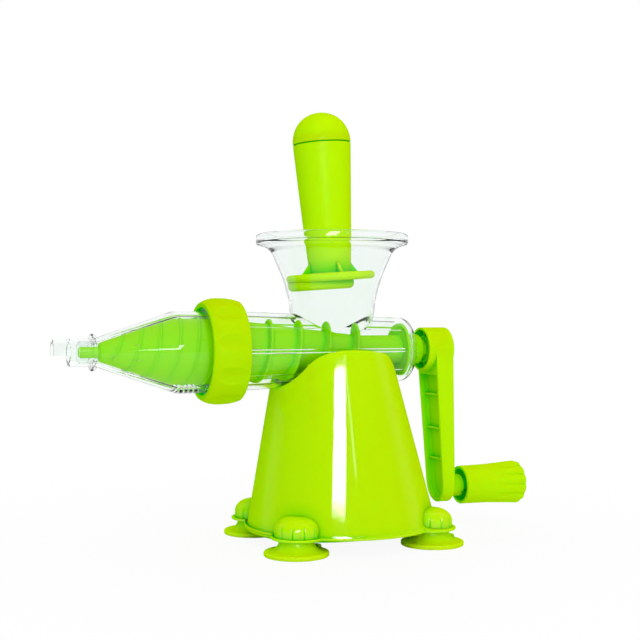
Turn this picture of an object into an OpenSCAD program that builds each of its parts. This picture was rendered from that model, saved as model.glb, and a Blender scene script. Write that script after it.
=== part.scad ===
// Manual wheatgrass juicer: a hand cranked auger in a clear body, on a green base with four suction cups.
// Modelled about the base's own centre with the crank at +X, then moved to the middle of the whole length.

/* [Base] */
// Radius of the hollow base at the underside of its flange
base_foot_r = 62.2; // [60:0.1:64]
// Radius of the base at the height of its saddle edge
base_top_r = 37.25; // [35:0.05:39]
// Height of the shell from the flange underside to the highest point of the saddle edge
base_h = 114.85; // [113:0.05:117]
// How far the shell's top sits towards the nozzle from its foot
base_lean = 6.05; // [5:0.05:7]
// Wall thickness of the moulded base
base_wall = 2.6; // [2:0.1:3]
// Height of the saddle edge's low point under the nozzle side of the barrel
saddle_low_front_z = 98.55; // [96:0.05:99]
// Height of the saddle edge's low point under the crank side of the barrel
saddle_low_rear_z = 102.25; // [100:0.05:103]
// Thickness of the flange that the cups hang from
flange_t = 1.6; // [1.4:0.1:2]
// How far the flange stands out beyond the base wall
flange_lip = 1.3; // [1:0.1:2]
// Radius of the round lobe above each cup
lobe_r = 16.7; // [16:0.1:18]
// Radius of the fluted dome on each lobe
dome_r = 14.4; // [13.5:0.1:14.6]
// Height of the domes above the lobes
dome_h = 11.8; // [11:0.1:13]
// Length of the rounding of the domes' top edge, measured inwards
dome_round_r = 10.6; // [8:0.1:12]
// Height of the rounding of the domes' top edge
dome_round_h = 8; // [6:0.1:9]
// How far the domes and lobes stand nearer the base's centre than the cups
dome_set_in = 1.7; // [0:0.1:2]
// Number of grooves round each dome
dome_grooves = 12; // [10:1:14]

/* [Suction cups] */
// Distance from the base's centre to the cups along the juicer
cup_x = 46.6; // [45:0.1:48]
// Distance from the base's centre to the cups across the juicer
cup_y = 40.5; // [39:0.05:42]
// Radius of a cup's rim
cup_r = 20.15; // [19:0.05:21]
// Height of a cup from the table to the flange
cup_h = 10.05; // [9:0.05:10.5]
// Height of the rim's straight band
cup_band_h = 2.7; // [2.2:0.1:3]
// Radius of the cup's neck under the flange
cup_neck_r = 10.6; // [10:0.1:11.5]
// Depth of the hollow under a cup
cup_hollow_h = 3.4; // [3:0.1:3.8]
// Radius of the stud that is pushed through the lobe
cup_stud_r = 4.6; // [4:0.1:5]
// Radius of the button that holds the stud above the flange
cup_button_r = 6.6; // [6:0.1:7]

/* [Clear body] */
// Height of the barrel's axis above the table
axis_h = 124.2; // [124:0.1:125]
// Place of the barrel's front end along the juicer
barrel_front_x = -88.2; // [-89:0.1:-87.5]
// Place where the threaded head ends and the plain barrel starts
barrel_head_end_x = -75.5; // [-76:0.1:-75]
// Place of the barrel's rear face
barrel_rear_x = 47.5; // [46.5:0.1:48]
// Outer radius of the barrel behind the threaded head
barrel_front_r = 25.35; // [25:0.05:25.6]
// Outer radius of the barrel at its rear end, before its rounded edge
barrel_rear_r = 21.3; // [21:0.1:21.6]
// Radius of the barrel's rounded rear edge
barrel_round_r = 5.5; // [4:0.1:6]
// Wall thickness of the barrel
body_wall = 2.5; // [2.2:0.1:2.8]
// How far the threaded head stands out from the barrel
head_step = 4.25; // [3.85:0.05:4.45]
// Number of ribs along the inside of the barrel
barrel_ribs = 8; // [6:1:10]
// Height of the ribs inside the barrel
barrel_rib_h = 1.2; // [0.8:0.1:1.3]
// Width of the ribs inside the barrel
barrel_rib_w = 2.4; // [2:0.1:3]

/* [Hopper] */
// Place of the hopper's axis along the juicer
hopper_x = -6.25; // [-7:0.05:-5]
// Height of the hopper's rim above the barrel's axis
hopper_rise = 75.6; // [74:0.1:77]
// Outer radius of the hopper's rim
hopper_rim_r = 49.9; // [49:0.1:51]
// Wall thickness of the hopper
hopper_wall = 1.8; // [1.6:0.1:2]
// Outer radius of the hopper's round neck
neck_r = 28.7; // [28:0.1:29.2]
// Outer radius of the hopper just under its rim
funnel_top_r = 43.9; // [43:0.1:45]
// Height of the rim's upright band
hopper_rim_h = 6.8; // [6:0.1:8]
// Half length of the oval throat on the outside, along the juicer
throat_half_x = 26.2; // [25.5:0.1:27]
// Half width of the oval throat on the outside, across the juicer
throat_half_y = 20.4; // [20:0.1:21]

/* [Auger] */
// Spacing of the tall feed flights
feed_pitch = 20.1; // [19:0.1:21]
// Spacing of the low pressing flights
press_pitch = 11.6; // [11:0.1:12]
// Height of the low pressing flights
press_flight_h = 0.9; // [0.6:0.1:1.2]
// Radius of the bare shaft behind the feed flights
auger_shaft_r = 9.5; // [9:0.1:9.7]
// Gap between the auger's body and the barrel's ribs at the ring nut
auger_body_gap = 1.15; // [0.95:0.05:1.65]
// Distance from the outside of the cone's collar to the auger's pressing cone
auger_cone_inset = 4.45; // [4.25:0.05:5.15]
// Radius of the auger's pin inside the nozzle
auger_pin_r = 3.5; // [3:0.1:3.8]
// Place of the pin's end along the juicer
auger_pin_end_x = -172; // [-173:0.5:-169]
// Radius of the journal that turns in the barrel's rear wall
journal_r = 9.85; // [9.6:0.05:10]
// Place of the journal's end along the juicer
journal_end_x = 56.4; // [55:0.1:57]
// Radius of the disc that takes the auger's thrust
thrust_disc_r = 17.5; // [17:0.1:17.8]
// Thickness of the thrust disc
thrust_disc_t = 2; // [1.6:0.1:2.4]
// Width across the flats of the hexagon that drives the auger
drive_flats = 11; // [10:0.1:12]
// Place of the hexagon's end along the juicer
drive_end_x = 73.1; // [72:0.1:73.5]

/* [Front cone] */
// Place where the cone starts to narrow
cone_shoulder_x = -114.1; // [-115:0.1:-113]
// Place of the cone's small end
cone_tip_x = -162; // [-163:0.5:-161]
// How much smaller the cone's collar is in radius than the barrel
collar_step = 0.2; // [0.05:0.05:0.45]
// Outer radius of the cone's small end
cone_tip_r = 8.85; // [8.6:0.05:9.2]
// Outer radius of the spigot that carries the nozzle
spigot_r = 6.85; // [6.5:0.05:7]
// Length of the spigot that carries the nozzle
spigot_l = 10.5; // [9.5:0.1:11]
// How much smaller the flange that the ring nut pulls back is in radius than the threaded head
cone_flange_step = 0.4; // [0.3:0.1:0.8]
// Thickness of that flange
cone_flange_t = 2.6; // [2.2:0.1:3]
// Wall thickness of the cone
cone_wall = 2; // [1.8:0.1:2.2]
// Number of ribs inside the cone
cone_ribs = 8; // [6:1:10]
// Height of the ribs inside the cone
cone_rib_h = 0.4; // [0.3:0.1:0.5]
// Number of juice slots under the collar
juice_slots = 5; // [3:1:7]
// Width of a juice slot
juice_slot_w = 1.2; // [1:0.1:1.5]

/* [Ring nut] */
// Place of the ring nut's front face
ring_front_x = -95.5; // [-96:0.1:-95]
// Length of the ring nut
ring_l = 23.35; // [22:0.05:24]
// Greatest wall thickness of the ring nut
ring_wall = 3.7; // [3.1:0.1:4.3]
// Wall thickness of the ring nut at its front edge
ring_front_wall = 0.7; // [0.4:0.1:1.1]
// Wall thickness of the ring nut at its rear edge
ring_rear_wall = 1.9; // [1.5:0.1:2.5]
// Gap between the cone's collar and the ring nut's front opening
ring_mouth_gap = 2.45; // [1.85:0.05:2.85]
// Thickness of the ring nut's front lip
ring_lip_t = 2.8; // [2.4:0.1:3]
// Number of finger scallops round the ring nut
ring_scallops = 10; // [8:1:12]
// Radius of the cutter of a finger scallop
scallop_r = 19; // [17:0.5:22]
// Share of a scallop's spacing by which the first one is turned from the top
scallop_phase = 0.79; // [0:0.01:1]
// Depth of the finger scallops
scallop_depth = 1.3; // [1:0.1:1.6]

/* [Nozzle] */
// Radius of the nozzle's tube
nozzle_r = 8.65; // [8.5:0.05:9]
// Radius of the nozzle's flange
nozzle_flange_r = 11.4; // [11:0.1:12]
// Thickness of the nozzle's flange
nozzle_flange_t = 2.8; // [2.4:0.1:3.2]
// Length of the nozzle's full tube, flange included
nozzle_tube_l = 15.9; // [15:0.1:17]
// Length of the hood beyond the tube
nozzle_hood_l = 9.65; // [9:0.05:10]
// Radius of the hood
nozzle_hood_r = 8.05; // [7.6:0.05:8.3]

/* [Crank] */
// Distance from the auger's axis to the grip's axis
crank_throw = 93.6; // [92:0.1:95]
// Outer radius of the crank's hub
hub_r = 14.7; // [14:0.1:15]
// Place of the hub's front face
hub_front_x = 58.5; // [57.9:0.1:59]
// Place of the arm's inner face at the hub
arm_inner_top_x = 63.4; // [62.8:0.1:64]
// Place of the arm's inner face at the grip
arm_inner_low_x = 69.85; // [69:0.05:70.5]
// Place of the arm's outer face at the hub
arm_outer_top_x = 76.7; // [76.4:0.1:77]
// Place of the arm's outer face at the grip
arm_outer_low_x = 79; // [78.5:0.1:79.5]
// Half width of the arm at the grip
arm_low_r = 12.7; // [12:0.1:13]
// How far the arm's round lower end is centred above the grip's axis
arm_end_rise = 2.2; // [0:0.1:3]
// Wall thickness of the crank
arm_wall = 2.4; // [2:0.1:3]
// Depth of the channel in the arm's inner face
channel_depth = 5; // [4:0.1:6]
// Thickness of the cross ribs in the channel
channel_rib_t = 1.2; // [1:0.1:1.5]
// Heights of the cross ribs above the grip's axis
channel_rib_heights = [18.5, 39.3, 62.2]; // [10:0.1:75]
// Radius of the crank screw's shank
crank_screw_r = 2; // [1.8:0.1:2.2]
// Radius of the crank screw's head
crank_screw_head_r = 4; // [3.8:0.1:4.2]

/* [Grip] */
// Place of the grip's open end
grip_start_x = 88.45; // [87.8:0.05:89]
// Length of the grip, dome included
grip_l = 48; // [46:0.1:49]
// Radius of the grip's open end
grip_start_r = 12.9; // [12.5:0.1:13]
// Radius over the ridges at the grip's far end
grip_end_r = 14.7; // [14.3:0.1:15]
// Number of ridges round the grip
grip_ridges = 12; // [10:1:14]
// Radius of one ridge
grip_ridge_r = 4.6; // [4.4:0.1:4.8]
// Wall thickness of the grip at its open end
grip_wall = 2; // [1.8:0.1:2.4]
// Radius of the crank's spindle inside the grip
spindle_r = 5.6; // [5:0.1:6]
// Radius of the spindle's root between the arm and the grip
spindle_root_r = 7.3; // [7:0.1:8]
// Length of the spindle inside the grip
spindle_grip_l = 34; // [32:0.5:36]
// Width of the snap slit along the spindle
snap_slit_w = 1.6; // [1.4:0.1:2]

/* [Pusher] */
// Height of the pusher's top above the barrel's axis
pusher_rise = 155.2; // [154:0.1:157]
// How far the pusher leans towards the nozzle, in degrees
pusher_lean = 4.1; // [3:0.1:4.2]
// Height of the seam between handle and cap, down from the top
pusher_cap_h = 20; // [19.5:0.1:21]
// Radius of the handle at the seam
pusher_top_r = 19; // [18.5:0.1:19.5]
// Radius of the handle at the height of the hopper's rim
pusher_mid_r = 15.5; // [15:0.1:16]
// Radius of the handle on its plate
pusher_low_r = 13.5; // [13:0.1:14]
// Radius of the pusher's plate
plate_r = 29.1; // [28.5:0.1:29.1]
// Thickness of the pusher's plate
plate_t = 5.2; // [4.8:0.1:5.4]
// Height of the plate's top above the barrel's axis
plate_rise = 50.6; // [50:0.1:52]
// Radius of the plug under the plate
plug_r = 21.5; // [20:0.1:21.5]
// How far the plate's centre is from the hopper's axis, towards the nozzle
pusher_offset = 1.2; // [0.8:0.1:1.3]
// Depth of the plug under the plate
plug_h = 5.4; // [5:0.1:5.6]
// How far the plug sits towards the nozzle from the handle
plug_offset = 7; // [5:0.1:7.2]

/* [Hidden] */
$fn = 96;

// One overrun serves every cut, and one embed serves every joint between fused solids
overrun = 1;
embed = 0.4;
// Clearances: turning fits, clearance of faces that pass each other, and pieces that only seat
running_gap = 0.06;
face_gap = 0.3;
seat_gap = 0.1;

lime = "#a6e000";
clear_tint = [0.9, 0.96, 0.93, 0.35];
silicone = "#e6ece8";
steel = "#c2c4c6";

// Places that follow from the sizes above
grip_end_x = grip_start_x + grip_l;
nozzle_end_x = nozzle_start_x() - nozzle_tube_l - nozzle_hood_l;
middle_x = (grip_end_x + nozzle_end_x) / 2;
flange_z = cup_h;
flange_top_z = flange_z + flange_t;
saddle_top_z = flange_z + base_h;
lean_angle = atan(base_lean / base_h);
grip_axis_h = axis_h - crank_throw;
hopper_top_h = axis_h + hopper_rise;
plate_top_h = axis_h + plate_rise;
pusher_top_h = axis_h + pusher_rise;
head_r = barrel_front_r + head_step;
collar_r = barrel_front_r - collar_step;
cone_flange_r = head_r - cone_flange_step;
auger_body_r = barrel_front_r - body_wall - barrel_rib_h - auger_body_gap;
auger_cone_r = collar_r - auger_cone_inset;

function nozzle_start_x() = cone_tip_x - seat_gap;

// Catmull-Rom point between p1 and p2, for share t of the way
function spline_point(p0, p1, p2, p3, t) =
  ((2 * p1) + (p2 - p0) * t + (2 * p0 - 5 * p1 + 4 * p2 - p3) * t * t
    + (3 * p1 - p0 - 3 * p2 + p3) * t * t * t) / 2;

// A smooth curve through points, with steps points for each gap
function spline(points, steps) = let(last = len(points) - 1) [
  for (i = [0 : last - 1], s = [0 : steps - 1])
    spline_point(points[max(i - 1, 0)], points[i], points[i + 1], points[min(i + 2, last)], s / steps),
  points[last]
];

// Points of an arc about centre c, from angle a to angle b
function corner(c, r, a, b, steps = 8) =
  [for (i = [0 : steps]) c + r * [cos(a + (b - a) * i / steps), sin(a + (b - a) * i / steps)]];

// The same with a half length rx across and a half height ry
function oval_corner(c, rx, ry, a, b, steps = 12) = [for (i = [0 : steps])
  let(t = a + (b - a) * i / steps) c + [rx * cos(t), ry * sin(t)]];

// Puts the base's own frame into the part's frame
module placed() translate([-middle_x, 0, 0]) children();

// Turns a shape made along +Z to lie along the barrel's axis, +Z becoming +X
module on_axis() translate([0, 0, axis_h]) rotate([0, 90, 0]) children();

// A solid of revolution about the barrel's axis from [x, radius] points
module turned(points) on_axis() rotate_extrude() polygon([for (p = points) [p[1], p[0]]]);

// A cylinder on the barrel's axis from x0 to x1
module axial(x0, x1, r0, r1) on_axis() translate([0, 0, x0]) cylinder(h = x1 - x0, r1 = r0, r2 = r1);

// Where the domes stand, a little nearer the centre than the cups
dome_x = cup_x * (1 - dome_set_in / norm([cup_x, cup_y]));
dome_y = cup_y * (1 - dome_set_in / norm([cup_x, cup_y]));

// Places a child at each of the four cups, or at each of the four domes with its X axis pointing outwards
module at_cups() for (sx = [-1, 1], sy = [-1, 1]) translate([sx * cup_x, sy * cup_y, 0]) children();
module at_domes() for (sx = [-1, 1], sy = [-1, 1]) translate([sx * dome_x, sy * dome_y, 0])
  rotate(atan2(sy * dome_y, sx * dome_x)) children();

// BASE

cone_extra = 5;
function base_r(h) = base_foot_r + (base_top_r - base_foot_r) * h / base_h;

// The base's leaning cone, drawn in by inset from its outer face, a little longer than the shell at its ends
module base_cone(inset) translate([0, 0, flange_z]) rotate([0, -lean_angle, 0])
  translate([0, 0, -cone_extra]) cylinder(h = base_h + 2 * cone_extra,
    r1 = base_r(-cone_extra) - inset, r2 = base_r(base_h + cone_extra) - inset);

// Shares of the run and of the rise of the saddle edge on the nozzle side and on the crank side
front_rise_shares = [[0, 0], [0.06, 0.09], [0.145, 0.22], [0.26, 0.43], [0.395, 0.7], [0.535, 0.87],
  [0.73, 0.96], [1, 1]];
rear_rise_shares = [[1, 1], [0.72, 0.97], [0.45, 0.9], [0.33, 0.82], [0.2, 0.6], [0.09, 0.3], [0, 0]];
saddle_front_x = -base_lean - base_r(saddle_low_front_z - flange_z);
saddle_rear_x = base_r(saddle_low_rear_z - flange_z) - base_lean;

// What the saddle edge leaves of the cone, as one outline seen from the side
module saddle_outline() {
  front = [for (s = front_rise_shares) [saddle_front_x + (-base_lean - saddle_front_x) * s[0],
    saddle_low_front_z + (saddle_top_z - saddle_low_front_z) * s[1]]];
  rear = [for (s = rear_rise_shares) [saddle_rear_x + (-base_lean - saddle_rear_x) * s[0],
    saddle_low_rear_z + (saddle_top_z - saddle_low_rear_z) * s[1]]];
  edge = concat(spline(front, 4), [for (i = [1 : len(rear) * 4 - 4]) spline(rear, 4)[i]]);
  far = base_foot_r + lobe_r;
  polygon(concat([[-far, flange_z], [-far, saddle_low_front_z]], edge,
    [[far, saddle_low_rear_z], [far, flange_z]]));
}

module saddle_block() {
  far = base_foot_r + lobe_r;
  translate([0, far, 0]) rotate([90, 0, 0]) linear_extrude(2 * far) saddle_outline();
}

// A dome from height foot up, drawn in by inset, with its rounded top edge
module dome_shape(inset, foot) rotate_extrude() polygon(concat(
  [[0, foot], [dome_r - inset, foot]],
  oval_corner([dome_r - dome_round_r, dome_h - dome_round_h],
    dome_round_r - inset, dome_round_h - inset, 0, 90),
  [[0, dome_h - inset]]));

stud_hole_r = cup_stud_r + seat_gap;
dome_groove_r = 1.1;
dome_groove_depth = 0.8;
dome_groove_share = 0.62;

// The dome with its upright grooves
module fluted_dome() difference() {
  dome_shape(0, -embed);
  for (i = [0 : dome_grooves - 1]) rotate((i + 0.5) * 360 / dome_grooves)
    translate([dome_r + dome_groove_r - dome_groove_depth, 0, -overrun])
      cylinder(h = dome_h * dome_groove_share + overrun, r = dome_groove_r, $fn = 32);
}

// The flange: a lip round the foot of the wall and a lobe above each cup
module flange() difference() {
  translate([0, 0, flange_z]) union() {
    difference() {
      cylinder(h = flange_t, r = base_foot_r + flange_lip);
      translate([0, 0, -overrun]) cylinder(h = flange_t + 2 * overrun, r = base_foot_r - base_wall / 2);
    }
    at_domes() cylinder(h = flange_t, r = lobe_r);
  }
  stud_holes();
}

module stud_holes() at_cups() translate([0, 0, flange_z - overrun])
  cylinder(h = flange_t + 2 * overrun, r = stud_hole_r);

// The cradle: two cross walls that carry the barrel, and a bridge between them that takes the screws
cradle_front_x = -31;
cradle_rear_x = 21;
cradle_t = 2.6;
cradle_top_drop = 8;
cradle_low_drop = 42;
bridge_half_w = 14;
screw_boss_x = [-21, 11];
boss_l = 7;
boss_foot_z = axis_h - barrel_front_r - boss_l;
body_screw_r = 1.75;
body_screw_l = 8.5;
screw_hole_r = body_screw_r + seat_gap;

module cradle() difference() {
  intersection() {
    base_cone(base_wall - embed);
    union() {
      for (x = [cradle_front_x, cradle_rear_x])
        translate([x - cradle_t / 2, -base_foot_r, axis_h - cradle_low_drop])
          cube([cradle_t, 2 * base_foot_r, cradle_low_drop - cradle_top_drop]);
      translate([cradle_front_x, -bridge_half_w, boss_foot_z - cradle_t])
        cube([cradle_rear_x - cradle_front_x, 2 * bridge_half_w, cradle_t]);
    }
  }
  barrel_skin(face_gap);
  for (x = screw_boss_x) translate([x, 0, boss_foot_z - cradle_t - overrun])
    cylinder(h = cradle_t + 2 * overrun, r = screw_hole_r, $fn = 32);
}

module base_shell() color(lime) placed() {
  difference() {
    union() {
      intersection() {
        base_cone(0);
        saddle_block();
      }
      at_domes() translate([0, 0, flange_top_z]) fluted_dome();
    }
    base_cone(base_wall);
    at_domes() translate([0, 0, flange_top_z]) dome_shape(base_wall, -embed - overrun);
    translate([0, 0, flange_z - base_foot_r]) cylinder(h = base_foot_r, r = 2 * base_foot_r);
    stud_holes();
    barrel_skin(face_gap);
  }
  flange();
  cradle();
}

// SUCTION CUPS

cup_skin = 1.9;
cup_land_w = 1.6;
cup_slope_h = cup_h - cup_band_h;
cup_hollow_share = 0.8;
button_h = 3.4;
tab_turn = 20;
tab_w = 5.5;
tab_h = 2.2;
tab_l = 2.6;

// One cup: rim band, dished cone, neck, stud and holding button, with a small tab to lift the rim
module suction_cup(sx, sy) color(lime) placed() translate([sx * cup_x, sy * cup_y, 0]) {
  difference() {
    rotate_extrude() polygon(concat(
      [[0, 0], [cup_r, 0], [cup_r, cup_band_h]],
      corner([cup_neck_r + cup_slope_h, cup_h], cup_slope_h, 270, 180),
      [[cup_stud_r, cup_h], [cup_stud_r, flange_top_z + seat_gap], [cup_button_r, flange_top_z + seat_gap],
        [cup_button_r, flange_top_z + button_h / 2], [cup_stud_r, flange_top_z + button_h],
        [0, flange_top_z + button_h]]));
    rotate_extrude() polygon([[0, -overrun], [cup_r - cup_land_w, -overrun], [cup_r - cup_land_w, 0],
      [cup_neck_r, cup_hollow_h * cup_hollow_share], [0, cup_hollow_h]]);
  }
  rotate(tab_turn) translate([cup_r - cup_skin - tab_l, -tab_w / 2, cup_band_h - embed])
    cube([tab_l, tab_w, tab_h + embed]);
}

module suction_cup_front_left() suction_cup(-1, 1);
module suction_cup_front_right() suction_cup(-1, -1);
module suction_cup_rear_left() suction_cup(1, 1);
module suction_cup_rear_right() suction_cup(1, -1);

// CLEAR BODY: barrel and hopper in one moulding

rear_wall_t = 2.6;
rear_hole_r = journal_r + running_gap;
head_shoulder_l = head_r - barrel_front_r;
barrel_start_x = barrel_head_end_x + head_shoulder_l;
bore_end_x = barrel_rear_x - rear_wall_t;
bore_round_r = barrel_round_r - body_wall;

function barrel_r(x) = barrel_front_r + (barrel_rear_r - barrel_front_r)
  * (x - barrel_start_x) / (barrel_rear_x - barrel_round_r - barrel_start_x);

// The plain barrel's outside, grown by gap, for seats cut to fit it
module barrel_skin(gap) axial(barrel_start_x, barrel_rear_x - barrel_round_r,
  barrel_front_r + gap, barrel_rear_r + gap);

module barrel_outside() turned(concat(
  [[barrel_front_x, 0], [barrel_front_x, head_r], [barrel_head_end_x, head_r],
    [barrel_start_x, barrel_front_r]],
  corner([barrel_rear_x - barrel_round_r, barrel_rear_r - barrel_round_r], barrel_round_r, 90, 0),
  [[barrel_rear_x, 0]]));

bore_front_r = barrel_front_r - body_wall;
bore_rear_r = barrel_rear_r - body_wall;
bore_straight_end_x = bore_end_x - bore_round_r;

module barrel_bore() turned(concat(
  [[barrel_front_x - overrun, 0], [barrel_front_x - overrun, bore_front_r],
    [barrel_start_x, bore_front_r]],
  corner([bore_straight_end_x, bore_rear_r - bore_round_r], bore_round_r, 90, 0),
  [[bore_end_x, 0]]));

// The hopper's funnel: shares of its widening and of its rise, from the round neck up to the rim
funnel_shares = [[0, 0], [0.12, 0.2], [0.28, 0.44], [0.43, 0.6], [0.59, 0.76], [0.77, 0.92], [1, 1]];
neck_drop = 42.8;
funnel_top_drop = 8.25;
neck_z = hopper_top_h - neck_drop;
rim_band_t = 3;
rim_edge_r = rim_band_t / 2;
loft_drop_h = 24;
loft_steps = 6;
loft_sides = 72;
// The throat stands this little outside and inside of the funnel's neck, where the two join
loft_step = 0.05;

// The funnel's outline, drawn in by inset
function funnel_line(inset) = [for (s = spline(funnel_shares, 3))
  [neck_r + (funnel_top_r - neck_r) * s[0] - inset, neck_z + (neck_drop - funnel_top_drop) * s[1]]];

// Turned funnel with its upright rim band, from the neck up
module funnel_wall() translate([hopper_x, 0, 0]) rotate_extrude() {
  rim_low_z = hopper_top_h - hopper_rim_h;
  inside = funnel_line(hopper_wall);
  polygon(concat(
    funnel_line(0),
    corner([hopper_rim_r - rim_edge_r, rim_low_z + rim_edge_r], rim_edge_r, 270, 360, 5),
    corner([hopper_rim_r - rim_edge_r, hopper_top_h - rim_edge_r], rim_edge_r, 0, 180, 10),
    corner([hopper_rim_r - rim_band_t - rim_edge_r, rim_low_z + hopper_wall + rim_edge_r],
      rim_edge_r, 0, -90, 5),
    [for (i = [len(inside) - 1 : -1 : 0]) inside[i]]));
}

// Half length and half width of the throat's outside, from the funnel's neck (t = 0) to its foot (t = 1)
function ease(t) = t * t * (3 - 2 * t);
function throat_half(t) = [neck_r, neck_r] + ([throat_half_x, throat_half_y] - [neck_r, neck_r]) * ease(t);

// Oval loft between the round neck and the oval throat, drawn in by inset and lengthened by up at its top
module throat_loft(inset, up) {
  rings = [for (i = [0 : loft_steps]) let(t = i / loft_steps)
    [neck_z - loft_drop_h * t, throat_half(t) - [inset, inset]]];
  all_rings = concat([[neck_z + up, rings[0][1]]], rings);
  points = [for (ring = all_rings, k = [0 : loft_sides - 1])
    [hopper_x + ring[1][0] * cos(360 * k / loft_sides), ring[1][1] * sin(360 * k / loft_sides), ring[0]]];
  n = loft_sides;
  last = len(all_rings) - 1;
  sides = [for (i = [0 : last - 1], k = [0 : n - 1])
    [i * n + k, i * n + (k + 1) % n, (i + 1) * n + (k + 1) % n, (i + 1) * n + k]];
  top_face = [for (k = [n - 1 : -1 : 0]) k];
  foot_face = [for (k = [0 : n - 1]) last * n + k];
  polyhedron(points, concat([top_face], sides, [foot_face]), convexity = 4);
}

groove_skin = 2.2;
groove_outer_r = head_r - groove_skin;
groove_depth = 9;
boss_r = 4.6;

module juicing_body() color(clear_tint) placed() {
  difference() {
    union() {
      barrel_outside();
      throat_loft(-loft_step, embed);
      for (x = screw_boss_x) translate([x, 0, boss_foot_z])
        cylinder(h = axis_h - boss_foot_z, r = boss_r, $fn = 48);
    }
    barrel_bore();
    throat_loft(hopper_wall - loft_step, overrun);
    axial(barrel_rear_x - 3 * rear_wall_t, barrel_rear_x + overrun, rear_hole_r, rear_hole_r);
    turned([[barrel_front_x - overrun, barrel_front_r], [barrel_front_x - overrun, groove_outer_r],
      [barrel_front_x + groove_depth, groove_outer_r], [barrel_front_x + groove_depth, barrel_front_r]]);
    for (x = screw_boss_x) translate([x, 0, boss_foot_z - overrun])
      cylinder(h = boss_l + overrun, r = body_screw_r + running_gap, $fn = 32);
  }
  funnel_wall();
  barrel_rib_set();
}

rib_end_x = 39;

// The ribs along the bore: bars on the wall, kept between the wall and the cone of their tips
module barrel_rib_set() difference() {
  intersection() {
    for (i = [0 : barrel_ribs - 1]) on_axis() rotate(i * 360 / barrel_ribs)
      translate([0, -barrel_rib_w / 2, barrel_front_x])
        cube([barrel_front_r, barrel_rib_w, rib_end_x - barrel_front_x]);
    axial(barrel_start_x, rib_end_x, barrel_r(barrel_start_x) - body_wall + embed,
      barrel_r(rib_end_x) - body_wall + embed);
  }
  axial(barrel_start_x - overrun, rib_end_x + overrun,
    barrel_r(barrel_start_x - overrun) - body_wall - barrel_rib_h,
    barrel_r(rib_end_x + overrun) - body_wall - barrel_rib_h);
  translate([hopper_x - throat_half_x, -throat_half_y, axis_h])
    cube([2 * throat_half_x, 2 * throat_half_y, barrel_front_r]);
}

// SMALL HARDWARE OF THE BODY

screw_head_r = 3.4;
screw_head_h = 2.4;
recess_r = 1.7;
recess_w = 0.7;
recess_h = 1;

// A pan head screw along +Z, its head below z = 0, with a cross-shaped drive
module pan_screw(r, l, head_r, head_h) difference() {
  union() {
    translate([0, 0, -head_h]) cylinder(h = head_h, r = head_r, $fn = 48);
    translate([0, 0, -embed]) cylinder(h = l + embed, r = r, $fn = 32);
  }
  for (a = [0, 90]) rotate(a) translate([-recess_r, -recess_w / 2, -head_h - overrun])
    cube([2 * recess_r, recess_w, recess_h + overrun]);
}

module body_screws() color(steel) placed() for (x = screw_boss_x) translate([x, 0, boss_foot_z - cradle_t])
  pan_screw(body_screw_r, body_screw_l, screw_head_r, screw_head_h);

seal_t = 1.8;
seal_w = 4.2;

module shaft_seal() color(silicone) placed() turned([
  [bore_end_x - seal_t, journal_r + seat_gap], [bore_end_x - seal_t, journal_r + seat_gap + seal_w],
  [bore_end_x, journal_r + seat_gap + seal_w], [bore_end_x, journal_r + seat_gap]]);

// AUGER: a left-handed screw whose core grows towards the nozzle, then a pressing cone

thrust_disc_x = bore_end_x - seal_t - face_gap - thrust_disc_t;
feed_start_x = 13.6;
feed_end_x = -70.5;
auger_body_x = -84;
press_start_x = -86;
press_end_x = -153;
auger_cone_x = -115.7;
auger_cone_end_x = -159.5;
auger_cone_end_r = 5.8;
flight_root_t = 3.4;
flight_tip_t = 2;
press_root_t = 2.8;
press_tip_t = 1.2;
flight_sink = 1.2;
flight_steps = 24;
flight_corners = 4;
feed_fade = [0.06, 0.05];
press_fade = [0.05, 0.08];
feed_tip_gap = 0.45;
first_tip_x = 9.6;

// Radius of the auger's core at x
core_line = [[feed_start_x, auger_shaft_r], [auger_body_x, auger_body_r], [auger_cone_x, auger_cone_r],
  [auger_cone_end_x, auger_cone_end_r]];
function core_r(x) = lookup(x, core_line);

// Radius of the feed flights at x: just clear of the barrel's ribs
function feed_tip_r(x) = barrel_r(x) - body_wall - barrel_rib_h - feed_tip_gap;

// One flight as a swept trapezoid. a0 is the angle at x0, and the ends fade into the core
module flight(x0, x1, x_at_top, pitch, root_t, tip_t, low, high) {
  turns = (x0 - x1) / pitch;
  steps = ceil(turns * flight_steps);
  n = flight_corners;
  rings = [for (i = [0 : steps])
    let(x = x0 + (x1 - x0) * i / steps, a = 90 + 360 * (x_at_top - x) / pitch,
      r0 = low[i], r1 = high[i])
    [[x + root_t / 2, r0, a], [x + tip_t / 2, r1, a], [x - tip_t / 2, r1, a], [x - root_t / 2, r0, a]]];
  points = [for (ring = rings, p = ring) [p[0], p[1] * cos(p[2]), p[1] * sin(p[2])]];
  quads = [for (i = [0 : steps - 1], k = [0 : n - 1])
    [i * n + k, (i + 1) * n + k, (i + 1) * n + (k + 1) % n, i * n + (k + 1) % n]];
  faces = [for (q = quads, h = [0, 1]) h == 0 ? [q[0], q[1], q[2]] : [q[0], q[2], q[3]]];
  first_face = [for (k = [0 : n - 1]) k];
  last_face = [for (k = [n - 1 : -1 : 0]) steps * n + k];
  translate([0, 0, axis_h]) polyhedron(points, concat([first_face], faces, [last_face]), convexity = 10);
}

// How far a flight has risen at share s of its length, fading in and out over the two end shares e
function fade(s, e) = min(1, s / e[0], (1 - s) / e[1]);

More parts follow.
